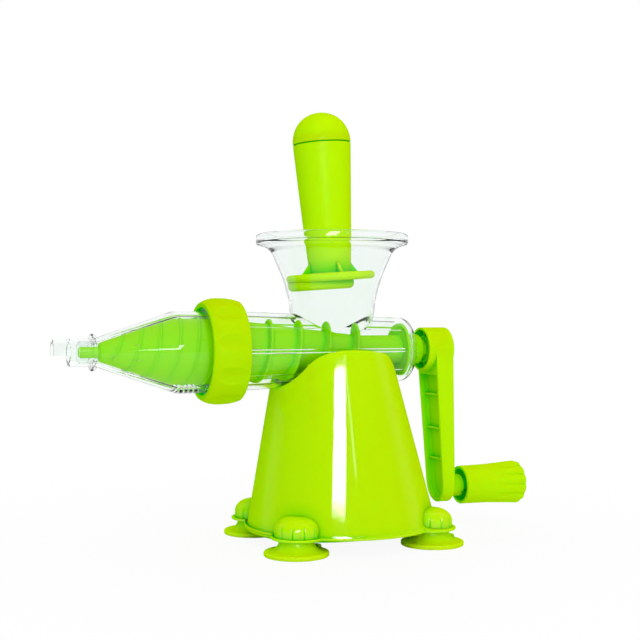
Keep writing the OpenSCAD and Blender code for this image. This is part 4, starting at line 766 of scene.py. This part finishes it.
def screw_flight(start_x, end_x, top_x, pitch, height, root_w, tip_w, fades, per_turn=72):
    """A flight carried along its helix, whose turn is the way back to its top place over the pitch. Its
    section flares at the root, is straight up its sides and round over its tip; its height fades by a
    sine over a share of its length at each end."""
    turns = (start_x - end_x) / pitch
    x = np.linspace(start_x, end_x, int(turns * per_turn) + 1)[:, None]
    s = (start_x - x) / (start_x - end_x)
    fade = np.clip(np.minimum(s / fades[0], (1 - s) / fades[1]), 0, 1)
    fade = np.sin(fade * np.pi / 2)
    rise, over = height(x) * fade, tip_w / 2
    side = np.array([[root_w / 2 + flight_flare, -flight_sunk], [root_w / 2 + flight_flare * 0.3, 0.12],
        [root_w / 2, 0.6]])
    tip = arc([0, -over], [over, over], 0, 90, 4)[:-1]
    half_x = np.concatenate([side[:, 0], tip[:, 0]])
    full = np.concatenate([half_x, [0], -half_x[::-1]])
    up = np.concatenate([np.minimum(side[:, 1] + 0 * rise, rise - over), rise + tip[:, 1]], 1)
    up = np.concatenate([up, rise, up[:, ::-1]], 1)
    r = core_r(x) + up
    a = np.pi / 2 + 2 * np.pi * (top_x - x) / pitch
    return np.stack([x + full, r * np.cos(a), axis_h + r * np.sin(a)], -1)


pin_line = np.vstack([
    [[pin_end_x, 0]], arc([pin_end_x + pin_round, pin_r - pin_round], [pin_round] * 2, 180, 90),
    [[cone_end_x - 0.8, pin_r], [cone_end_x - 0.2, pin_r + 0.6], [cone_end_x, cone_end_r - 0.5],
        [cone_end_x + 0.4, cone_end_r]]])
core_line = np.vstack([
    np.linspace([cone_end_x + 0.6, cone_end_r + 0.2], [cone_start_x, cone_start_r], 12),
    np.linspace([cone_start_x, cone_start_r], [core_front_x, core_front_r], 6)[1:],
    np.linspace([core_front_x, core_front_r], [feed_start_x, shaft_r], 20)[1:]])
disc_line = [
    [disc_x - 1.2, shaft_r], [disc_x - 0.3, shaft_r + 0.4], [disc_x, shaft_r + 1.4], [disc_x, disc_r - 0.4],
    [disc_x + 0.4, disc_r], [disc_x + disc_t - 0.4, disc_r], [disc_x + disc_t, disc_r - 0.4],
    [disc_x + disc_t, journal_r], [journal_end_x - 0.9, journal_r],
    [journal_end_x - 0.3, journal_r - 0.25], [journal_end_x, journal_r - 0.9], [journal_end_x, 0]]
auger_line = np.vstack([pin_line, core_line, disc_line])
hexagon_line = [[journal_end_x - 0.4, drive_r], [drive_end_x - 0.5, drive_r], [drive_end_x, drive_r - 0.5]]
hexagon = axle(hexagon_line, 6)
feed = screw_flight(feed_start_x, feed_end_x, first_tip_x, feed_pitch,
    lambda x: bore_r(x) - tip_gap - core_r(x), feed_root_w, feed_tip_w, feed_fades)
presses = [screw_flight(press_start_x, press_end_x, press_start_x + ahead, press_lead,
    lambda x: press_h + 0 * x, press_root_w, press_tip_w, press_fades, 96) for ahead in (0, press_lead / 2)]
satin_lime = moulded_lime("satin_lime_abs", 0.24, 0.34, 0.003, near="#CAEC00")
# The auger's painted shade: a greener colour on faces that stand up, and deep green within 4 mm of its own
# surface, at the roots of its flights.
auger_lime = moulded_lime("auger_lime_abs", 0.1, 0.16, 0.01, near="#9EE400", upright="#58D600",
    hollow_far=0.004, soak=0.0004)
auger = solid("auger_screw", (axle(auger_line, 120), ""), (feed, "caps"),
    *[(press, "caps") for press in presses], (hexagon, "caps"))
fit(auger, "crank", "lime_gloss", auger_lime, "auger")


# FRONT CONE: the strainer, one clear moulding with a collar, a flange that the ring nut pulls back, eight
# low ribs inside, five slots under the collar for the juice, and a spigot for the nozzle.
shoulder_x, tip_x, collar_r, tip_r, skin_t, slant = -114.1, -162.0, 25.15, 8.85, 2.0, 1.06
spigot_r, spigot_l, spigot_wall = 6.85, 10.5, 1.5
strainer_flange_x, strainer_flange_r, strainer_flange_t = -92.6, 29.2, 2.6
strainer_ribs, strainer_rib_h, strainer_rib_w, strainer_rib_soft = 8, 0.4, 2.4, 0.4
slot_count, slot_w, slot_pitch, slot_first_x, slot_half_angle = 5, 1.2, 3.1, -112.6, 24.0
slot_share, slot_low, slot_high, under_swell, under_soft, under_run = 0.8, -30.0, -12.0, 1.1, 0.12, 3.0
strainer_back_x = strainer_flange_x + strainer_flange_t
spigot_end_x, spigot_bore_r = tip_x - spigot_l, spigot_r - spigot_wall
in_r, tip_in_r = collar_r - skin_t * slant, tip_r - skin_t * slant
strainer_line = np.vstack([
    [[spigot_end_x, spigot_bore_r], [spigot_end_x, spigot_r - 0.3], [spigot_end_x + 0.3, spigot_r],
        [tip_x - 0.5, spigot_r], [tip_x - 0.1, spigot_r + 0.2], [tip_x, spigot_r + 0.8],
        [tip_x, tip_r - 0.6], [tip_x + 0.4, tip_r]],
    np.linspace([tip_x + 0.8, tip_r + 0.2], [shoulder_x - 2.2, collar_r - 0.72], 14),
    [[shoulder_x - 1, collar_r - 0.32], [shoulder_x + 0.3, collar_r - 0.08], [shoulder_x + 1.8, collar_r]],
    np.linspace([shoulder_x + 2.5, collar_r], [strainer_flange_x - 0.8, collar_r], 14),
    [[strainer_flange_x, collar_r + 0.8], [strainer_flange_x, strainer_flange_r - 0.3],
        [strainer_flange_x + 0.3, strainer_flange_r], [strainer_back_x, strainer_flange_r],
        [strainer_back_x, in_r]],
    np.linspace([strainer_back_x - 1, in_r], [shoulder_x + 1, in_r], 10),
    [[shoulder_x - 0.6, in_r - 0.15]],
    np.linspace([shoulder_x - 2.5, in_r - 0.72], [tip_x, tip_in_r], 16),
    [[tip_x, spigot_bore_r]]])


def strainer_skin(x, r, a):
    """Inner radii less a low rib near eight turns; outer radii under the collar swell a little for the
    slots, by the turn's and the place's nearness to the collar's under side."""
    turn = np.angle(-np.exp(1j * a * strainer_ribs)) / strainer_ribs
    rise = ((strainer_rib_w + strainer_rib_soft) / 2 - np.abs(turn) * r) / strainer_rib_soft
    outer = np.interp(x, [tip_x, shoulder_x], [tip_r, collar_r]) - skin_t / 2
    inner = (r < outer) & (r > spigot_r) & (x < strainer_back_x)
    under = (math.radians(slot_half_angle) - np.abs(np.abs(a) - np.pi)) / under_soft
    swell = np.clip(under, 0, 1) * np.clip((x - shoulder_x) / under_run, 0, 1)
    swell = swell * (~inner) * (x < strainer_flange_x - 0.1) * (r <= collar_r)
    return r - strainer_rib_h * np.clip(rise, 0, 1) * inner + under_swell * swell


slot_half_w = collar_r * math.sin(math.radians(slot_half_angle)) * slot_share
slot_starts = slot_first_x + slot_pitch * np.arange(slot_count)
slots = [("DIFFERENCE", solid(f"slot_{k}", (block(slot_half_w, axis_h + slot_low, axis_h + slot_high,
    (x, x + slot_w)), "caps"))) for k, x in enumerate(slot_starts)]
strainer_round = solid("strainer_skin", (axle(strainer_line, 192, strainer_skin), "ring"))
fit_clear(joined("strainer_cone", strainer_round, *slots), "front_set", "front_cone")


# FRONT GASKET: a moulded silicone ring between the strainer's flange and the barrel's mouth, held by its
# tongue in the barrel's groove. It keeps its built shape and gets its finish only.
dress("front_gasket", silicone)


# RING NUT: a moulded lime ABS nut with a satin crown and ten shallow finger scallops. It screws over the
# barrel's head, and its front lip draws the strainer's flange back against the gasket.
ring_l, ring_r, ring_front_r, ring_rear_r = 23.35, 33.6, 30.6, 31.8
ring_mouth_r, ring_lip_t, ring_bore_r, lip_gap = 27.6, 2.8, 29.9, 0.1
ring_front_x = strainer_flange_x - ring_lip_t - lip_gap
scallops, scallop_r, scallop_depth, scallop_phase, scallop_soft = 10, 15.5, 1.6, 0.79, 0.04
crown_shares = [[0, 0], [0.06, 0.32], [0.16, 0.66], [0.3, 0.92], [0.45, 1], [0.62, 0.95], [0.8, 0.7],
    [0.93, 0.3], [1, 0]]
crown_top_share = 0.45


def ring_crown():
    """The crown as [x, radius]: the curve of shares over its length, its two ends at their own radii."""
    s = spline(crown_shares, 8)
    foot = np.where(s[:, 0] < crown_top_share, ring_front_r, ring_rear_r)
    return np.stack([ring_front_x + ring_l * s[:, 0], foot + (ring_r - foot) * s[:, 1]], 1)


def ring_skin(x, r, a):
    """The crown cut by ten round scallops: the nearer of the crown and the cutter's wall, softly joined. The
    cutter's wall is the near root of a circle seen from the ring's axis."""
    turn = np.angle(np.exp(1j * (a * scallops - scallop_phase * 2 * np.pi))) / scallops
    far = ring_r - scallop_depth + scallop_r
    cut = far * np.cos(turn) - np.sqrt(np.maximum(scallop_r**2 - (far * np.sin(turn)) ** 2, 0.01))
    near = (r + cut - np.sqrt((r - cut) ** 2 + scallop_soft**2)) / 2
    along = (x > ring_front_x + 0.3) & (x < ring_rear_x - 0.3) & (r > ring_front_r + 0.05)
    return np.where(along, np.minimum(near, r), r)


ring_rear_x = ring_front_x + ring_l
ring_line = np.vstack([ring_crown(), [[ring_rear_x, ring_bore_r + 0.3], [ring_rear_x - 0.3, ring_bore_r],
    [ring_front_x + ring_lip_t, ring_bore_r], [ring_front_x + ring_lip_t, ring_mouth_r],
    [ring_front_x + 0.5, ring_mouth_r], [ring_front_x, ring_mouth_r + 0.5]]])
ring = solid("ring_with_scallops", (axle(ring_line, 360, ring_skin), "ring"), sharp=40)
# The ring's painted hollow shade reaches 30 mm, so its mouth turns a deep green.
ring_lime = moulded_lime("ring_lime_abs", 0.24, 0.34, 0.002, near="#C4DE00", hollow_far=0.03)
fit(ring, "ring", "lime_gloss", ring_lime, "ring_nut")


# NOZZLE: a short tube with a flange, pushed over the spigot, where it turns, and a hood that is open above
# and lets the dry pulp out. Clear polycarbonate, moulded in one piece.
nozzle_r, nozzle_flange_r, nozzle_flange_t, nozzle_tube_l, hood_l, hood_r = 8.65, 11.4, 2.8, 15.9, 9.65, 8.05
nozzle_bore, way_r, hood_drop, push_gap, hood_embed = 6.91, 5.6, 1.7, 0.1, 0.4
nozzle_x = tip_x - push_gap
tube_end_x, flange_start_x = nozzle_x - nozzle_tube_l, nozzle_x - nozzle_flange_t
hood_end_x, step_x = tube_end_x - hood_l, spigot_end_x - push_gap
nozzle_line = [[tube_end_x, 0], [tube_end_x, nozzle_r - 0.4], [tube_end_x + 0.4, nozzle_r],
    [flange_start_x - 0.5, nozzle_r], [flange_start_x, nozzle_r + 0.5],
    [flange_start_x, nozzle_flange_r - 0.6], [flange_start_x + 0.6, nozzle_flange_r],
    [nozzle_x - 0.6, nozzle_flange_r], [nozzle_x, nozzle_flange_r - 0.6], [nozzle_x, 0]]
hood_line = [[hood_end_x, 0], [hood_end_x, hood_r - 0.3], [hood_end_x + 0.3, hood_r],
    [tube_end_x + hood_embed, hood_r], [tube_end_x + hood_embed, 0]]
way_line = [[hood_end_x - overrun, 0], [hood_end_x - overrun, way_r], [step_x, way_r], [step_x, nozzle_bore],
    [nozzle_x + overrun, nozzle_bore], [nozzle_x + overrun, 0]]
hood_cut = block(12, axis_h - 20, axis_h - hood_drop, (hood_end_x - overrun, tube_end_x))
hood = joined("hood", solid("hood_round", (axle(hood_line, 96), "")),
    ("DIFFERENCE", solid("hood_cut", (hood_cut, "caps"))))
nozzle_piece = joined("nozzle_spout", solid("nozzle_tube", (axle(nozzle_line, 96), "")),
    ("UNION", hood), ("DIFFERENCE", solid("nozzle_way", (axle(way_line, 96), ""))))
fit_clear(nozzle_piece, "spout", "nozzle")


# CRANK: hub, channelled arm and spindle in one moulding of lime ABS. The arm's inner side is a channel
# with three cross ribs, its outer edge is rounded, webs join the hub's rim to the hexagon's socket, and
# the spindle ends in a slit barb that snaps into the grip. A steel screw and washer hold it.
crank_throw, hub_r, hub_front_x, hub_wall, hub_crown = 93.6, 14.7, 58.5, 1.6, 0.5
arm_inner_x, arm_outer_x, arm_low_r, arm_end_rise = (63.4, 69.85), (76.7, 79.0), 12.7, 2.2
arm_wall, channel_depth, arm_round, floor_round = 2.4, 5.0, 1.5, 1.6
socket_r, socket_front_x, web_front_x, hub_web_t, hub_webs = 9.2, 60.4, 61.4, 1.4, 8
counterbore_r, counterbore_h, screw_way_r, hex_gap, embed = 5.4, 2.6, 2.3, 0.3, 0.4
channel_rib_heights, channel_rib_t, channel_rib_share = (18.5, 39.3, 62.2), 1.2, 0.55
grip_x, spindle_root_r, spindle_r, spindle_l, snap_rise = 88.45, 7.3, 5.6, 34.0, 0.8
slit_w, slit_turn = 1.6, math.radians(35)
grip_axis_h = axis_h - crank_throw
arm_end_h = grip_axis_h + arm_end_rise
channel_top_z = axis_h - hub_r - arm_wall
arm_lean = math.asin((hub_r - arm_low_r) / (axis_h - arm_end_h))


def face_x(face, z):
    """Place of one of the arm's leaning faces: a straight line between its places at grip and hub."""
    return face[1] + (face[0] - face[1]) * (z - grip_axis_h) / crank_throw


def arm_loop(inset, channel, steps=40):
    """The arm's outline as [y, z]: a low round end, then a high one, or for the channel two square corners
    where its sides, which lean as the common tangents of both ends do, meet the channel's top."""
    low_r, top_r, tip_over = arm_low_r - inset, hub_r - inset, math.degrees(arm_lean)
    low = arc([0, arm_end_h], [low_r, low_r], 180 + tip_over, 360 - tip_over, steps)
    top = arc([0, axis_h], [top_r, top_r], -tip_over, 180 + tip_over, steps)
    if channel:
        side_z = channel_top_z - max(inset - arm_wall, 0)
        side_y = np.interp(side_z, [low[-1, 1], top[0, 1]], [low[-1, 0], top[0, 0]])
        top = np.array([[side_y, side_z], [-side_y, side_z]])
    return np.vstack([low, top])


def arm_solid(name, rows, channel=False):
    """Outlines set one behind another: each row has its inset, the face it follows and its step from it."""
    loops = [(arm_loop(inset, channel), face, step) for inset, face, step in rows]
    return solid(name, (np.stack([np.stack([face_x(face, p[:, 1]) + step, p[:, 0], p[:, 1]], -1)
        for p, face, step in loops]), "caps"))


def turned_row(points):
    """A rounded end of the hub or spindle as [x, radius] points, one list after another."""
    return np.vstack([np.atleast_2d(p) for p in points])


arm_floor_x = tuple(x + channel_depth for x in arm_inner_x)
arm_rows = [(0.3, arm_inner_x, 0), (0.09, arm_inner_x, 0.09), (0, arm_inner_x, 0.3)]
arm_rows += [(0, arm_outer_x, -arm_round)]
arm_rows += [(arm_round * b, arm_outer_x, -arm_round * a) for a, b in quarter_rows[1:]]
channel_rows = [(arm_wall - 0.25, arm_inner_x, -overrun), (arm_wall - 0.05, arm_inner_x, 0.3),
    (arm_wall, arm_floor_x, -floor_round)]
channel_rows += [(arm_wall + floor_round * b, arm_floor_x, -floor_round * a) for a, b in quarter_rows[1:]]
hub_end_x = arm_outer_x[0] + hub_crown
hub_rows = turned_row([[hub_front_x, 0], arc([hub_front_x + 0.4, hub_r - 0.4], [0.4] * 2, 180, 90),
    arc([hub_end_x - 0.9, hub_r - 0.9], [0.9] * 2, 90, 0), [hub_end_x, 0]])
hub_floor_x, bridge_x = drive_end_x + hex_gap, arm_outer_x[0] - counterbore_h
bore_rows = turned_row([[hub_front_x - overrun, 0], [hub_front_x - overrun, hub_r - hub_wall],
    arc([hub_floor_x - 0.6, hub_r - hub_wall - 0.6], [0.6] * 2, 90, 0), [hub_floor_x, 0]])
socket_rows = [[socket_front_x, 0], [socket_front_x, socket_r - 0.3], [socket_front_x + 0.3, socket_r],
    [hub_floor_x + 0.5, socket_r], [hub_floor_x + 0.5, 0]]
head_room_rows = [[bridge_x, 0], [bridge_x, counterbore_r], [hub_end_x - 0.3, counterbore_r],
    [hub_end_x + 0.1, counterbore_r + 0.4], [hub_end_x + overrun, counterbore_r + 0.4],
    [hub_end_x + overrun, 0]]
screw_way_rows = [[hub_front_x, 0], [hub_front_x, screw_way_r], [hub_end_x, screw_way_r], [hub_end_x, 0]]
hex_room = axle([[socket_front_x - overrun, drive_r + hex_gap], [hub_floor_x, drive_r + hex_gap]], 6)
snap_x = grip_x + spindle_l
spindle_rows = turned_row([[arm_outer_x[1] - arm_wall, 0], [arm_outer_x[1] - arm_wall, spindle_root_r],
    arc([grip_x - 0.4, spindle_root_r - 0.4], [0.4] * 2, 90, 0), [grip_x, spindle_r],
    [snap_x - 8, spindle_r], [snap_x - 8, spindle_r - 0.6], [snap_x - 3, spindle_r - 0.6],
    [snap_x - 3, spindle_r + snap_rise], [snap_x, spindle_r - 0.6], [snap_x, 0]])


def upright_slab(half_long, half_thick, ends, turn, height):
    """A thin wall along X through an axis at the given height, turned about that axis: each corner's two
    places times the turn's cosine and sine."""
    c, s = math.cos(turn), math.sin(turn)
    a, b = np.array([[-1, -1], [1, -1], [1, 1], [-1, 1]]).T * [[half_long], [half_thick]]
    return bar(np.stack([a * c - b * s, height + a * s + b * c], 1), ends)


def channel_rib(height):
    """A thin rib across the channel, as wide as the arm's inside at its height. Its free edge is a share of
    the channel's depth above its floor, and both edges follow the arm's lean."""
    half = np.interp(grip_axis_h + height, [arm_end_h, axis_h], [arm_low_r, hub_r]) - arm_wall + embed
    z = grip_axis_h + height + np.array([0, channel_rib_t, channel_rib_t, 0])
    depth = channel_depth * channel_rib_share
    x = face_x(arm_floor_x, z) + np.array([-depth, -depth, embed, embed])
    return np.stack([np.stack([x, y + 0 * x, z], -1) for y in (-half, half)])


web_rim_r, web_ends = hub_r - hub_wall / 2, (hub_front_x, hub_end_x)
web_rows = [[web_front_x, 0], [web_front_x, web_rim_r], [hub_floor_x + embed, web_rim_r],
    [hub_floor_x + embed, 0]]
webs = [solid(f"web_{k}", (upright_slab(hub_r, hub_web_t / 2, web_ends, 2 * math.pi * k / hub_webs, axis_h),
    "caps")) for k in range(hub_webs // 2)]
web_star = joined("web_star", webs[0], *[("UNION", web) for web in webs[1:]])
web_ring = joined("web_ring", solid("web_round", (axle(web_rows, 96), "")), ("INTERSECT", web_star))
slit = upright_slab(2 * spindle_r, slit_w / 2, (grip_x - slit_w, snap_x + overrun), slit_turn, grip_axis_h)
spindle = joined("spindle", solid("spindle_round", (axle(spindle_rows, 96) - [0, 0, crank_throw], "")),
    ("DIFFERENCE", solid("slit", (slit, "caps"))))
crank = joined("crank_with_spindle", arm_solid("arm_block", arm_rows),
    ("UNION", solid("hub_round", (axle(hub_rows, 144), ""))),
    ("DIFFERENCE", arm_solid("channel", channel_rows, channel=True)),
    ("DIFFERENCE", solid("hub_bore", (axle(bore_rows, 144), ""))),
    ("UNION", solid("socket", (axle(socket_rows, 96), ""))),
    ("UNION", web_ring),
    ("DIFFERENCE", solid("hex_room", (hex_room, "caps"))),
    ("DIFFERENCE", solid("head_room", (axle(head_room_rows, 96), ""))),
    ("DIFFERENCE", solid("screw_way", (axle(screw_way_rows, 48), ""))),
    *[("UNION", solid(f"rib_{height}", (channel_rib(height), "caps"))) for height in channel_rib_heights],
    ("UNION", spindle), sharp=34)
fit(crank, "crank", "lime_gloss", satin_lime, "crank_arm")
dress("crank_screw", steel)
dress("crank_washer", steel)


# GRIP: a fluted lime ABS handle that spins on the crank's spindle, with twelve round ridges that rise
# towards its domed end and an open skirt at the spindle.
grip_l, grip_start_r, grip_end_r, grip_ridges, ridge_r, ridge_soft = 48.0, 12.9, 14.7, 12, 4.6, 0.15
grip_dome_l, grip_swell, ridge_sunk, skirt_l, skirt_r = 5.0, 0.6, 1.0, 8.0, 10.9
grip_bore_r, snap_room_x, snap_room_end_x, snap_room_r = 5.66, 119.15, 123.05, 6.9
grip_full_r, grip_dome_x, grip_end_x = grip_end_r + 0.1, grip_x + grip_l - grip_dome_l, grip_x + grip_l


def grip_skin(x, r, a):
    """The greater of a slightly swelling core and the nearest ridge, a tilted round rod, softly joined. Over
    the domed end the same section shrinks with the dome's profile, so every ridge ends in its own nose."""
    run = grip_l - grip_dome_l
    rod_in, rod_out = grip_start_r - ridge_r - ridge_sunk, grip_end_r - ridge_r
    centre = rod_in + (rod_out - rod_in) * np.minimum(x - grip_x, run) / run
    turn = np.angle(-np.exp(1j * a * grip_ridges)) / grip_ridges
    rod = centre * np.cos(turn) + np.sqrt(np.maximum(ridge_r**2 - (centre * np.sin(turn)) ** 2, 0))
    core = grip_start_r + grip_swell * (x - grip_x) / grip_l
    both = (rod + core + np.sqrt((rod - core) ** 2 + ridge_soft**2)) / 2
    return np.where(x > grip_dome_x, both * r / grip_full_r, np.where(r > 12.0, np.minimum(both, r), r))


dome_shares = np.array([[0, 1], [0.44, 0.95], [0.84, 0.7], [1, 0.35], [1, 0]])
dome_line = spline(dome_shares * [grip_dome_l, grip_full_r] + [grip_dome_x, 0], 8)
dome_line = np.minimum(dome_line, [grip_end_x, grip_full_r])
grip_outer = np.vstack([
    [[grip_x, skirt_r + 0.3], [grip_x, grip_start_r - 0.5], [grip_x + 0.15, grip_start_r - 0.15]],
    np.linspace([grip_x + 0.5, grip_full_r], [grip_dome_x, grip_full_r], 40), dome_line[1:]])
grip_inner = [[snap_room_end_x, 0], [snap_room_end_x, snap_room_r], [snap_room_x, snap_room_r],
    [snap_room_x, grip_bore_r], [grip_x + skirt_l, grip_bore_r], [grip_x + skirt_l, skirt_r],
    [grip_x + 0.3, skirt_r]]
grip_closed = np.concatenate([axle(grip_inner, 240), axle(grip_outer, 240, grip_skin)])
grip = solid("fluted_grip", (grip_closed - [0, 0, crank_throw], ""), sharp=40)
fit(grip, "grip", "lime_gloss", satin_lime, "grip")


# PUSHER: a hollow lime ABS handle on a round-edged plate with four gussets and a plug that enters the
# throat, leaning a little towards the nozzle, and a domed cap pushed over the handle's neck.
pusher_lean, pusher_cap_h = math.radians(4.1), 20.0
pusher_top_r, pusher_mid_r, pusher_low_r = 19.0, 15.5, 13.5
plate_r, plate_t, plate_top_z, plug_r, plug_h = 29.1, 5.2, 174.8, 21.5, 5.4
plug_offset, pusher_offset = 7.0, 1.2
plug_round_r, plug_round_h, pusher_embed = 3.0, 3.4, 0.4
gusset_w, gusset_h, gusset_t, neck_inset, neck_h, pusher_top_z = 6.4, 7.4, 2.0, 1.4, 4.0, 279.4
handle_h = (pusher_top_z - plate_top_z) / math.cos(pusher_lean) - pusher_cap_h
rim_level = (hopper_top_z - plate_top_z) / math.cos(pusher_lean)


def leaning(points):
    """Turns the pusher's own frame by its lean about Y and stands it on the plate's place in the hopper."""
    c, s = math.cos(pusher_lean), math.sin(pusher_lean)
    x, y, z = points[..., 0], points[..., 1], points[..., 2]
    return np.stack([x * c - z * s + hopper_x - pusher_offset, y, x * s + z * c + plate_top_z], -1)


handle_side = spline([[pusher_low_r, 0], [pusher_mid_r, rim_level], [pusher_top_r, handle_h - 0.5]], 24)
handle_line = np.vstack([
    [[0, -pusher_embed], [pusher_low_r + 1.2, -pusher_embed], [pusher_low_r + 0.35, 0.35]],
    handle_side[1:-1],
    [[pusher_top_r - 0.15, handle_h - 0.95], [pusher_top_r - 0.4, handle_h - 0.8],
        [pusher_top_r - neck_inset, handle_h - 0.8], [pusher_top_r - neck_inset, handle_h + neck_h],
        [0, handle_h + neck_h]]])
plate_line = np.vstack([
    [[0, -plate_t]], arc([plate_r - plate_t / 2, -plate_t / 2], [plate_t / 2] * 2, -90, 90, 16), [[0, 0]]])
plug_line = np.vstack([
    [[0, pusher_embed - plate_t], [plug_r, pusher_embed - plate_t]],
    arc([plug_r - plug_round_r, plug_round_h - plug_h - plate_t], [plug_round_r, plug_round_h], 0, -90, 10),
    [[0, -plug_h - plate_t]]])
gusset_outline = [[pusher_low_r - 1.2, -pusher_embed], [pusher_low_r + gusset_w, -pusher_embed],
    [pusher_low_r + 0.4, gusset_h], [pusher_low_r - 1.2, gusset_h]]


def gusset(turn):
    """A thin upright triangle between handle and plate: its outline, half its thickness to each side, times
    the turn's cosine and sine about the handle."""
    r, z = np.array(gusset_outline).T
    c, s = math.cos(turn), math.sin(turn)
    faces = [np.stack([r * c - t * s, r * s + t * c, z], -1) for t in (-gusset_t / 2, gusset_t / 2)]
    return leaning(np.stack(faces))


pusher = solid("pusher_handle_with_plate", (leaning(lathe(handle_line, 144)), ""),
    (leaning(lathe(plate_line, 192)), ""), (leaning(lathe(plug_line, 144) - [plug_offset, 0, 0]), ""),
    *[(gusset(k * math.pi / 2), "caps") for k in range(4)])
fit(pusher, "pusher", "lime_gloss", satin_lime, "pusher_handle")
cap_turn = np.linspace(0, np.pi / 2, 33)
cap_crown = np.stack([pusher_top_r * np.cos(cap_turn) ** 0.95,
    handle_h + pusher_cap_h * np.sin(cap_turn) ** 0.95], 1)
cap_neck_r, cap_neck_top = pusher_top_r - neck_inset + 0.1, handle_h + neck_h + 0.1
cap_line = np.vstack([
    [[0, cap_neck_top], [cap_neck_r, cap_neck_top], [cap_neck_r, handle_h], [pusher_top_r - 0.3, handle_h],
        [pusher_top_r, handle_h + 0.3]],
    cap_crown[cap_crown[:, 1] > handle_h + 0.5][:-1], [[0, handle_h + pusher_cap_h]]])
cap = solid("pusher_end_cap", (leaning(lathe(cap_line, 144)), ""))
fit(cap, "pusher", "lime_gloss", satin_lime, "pusher_cap")
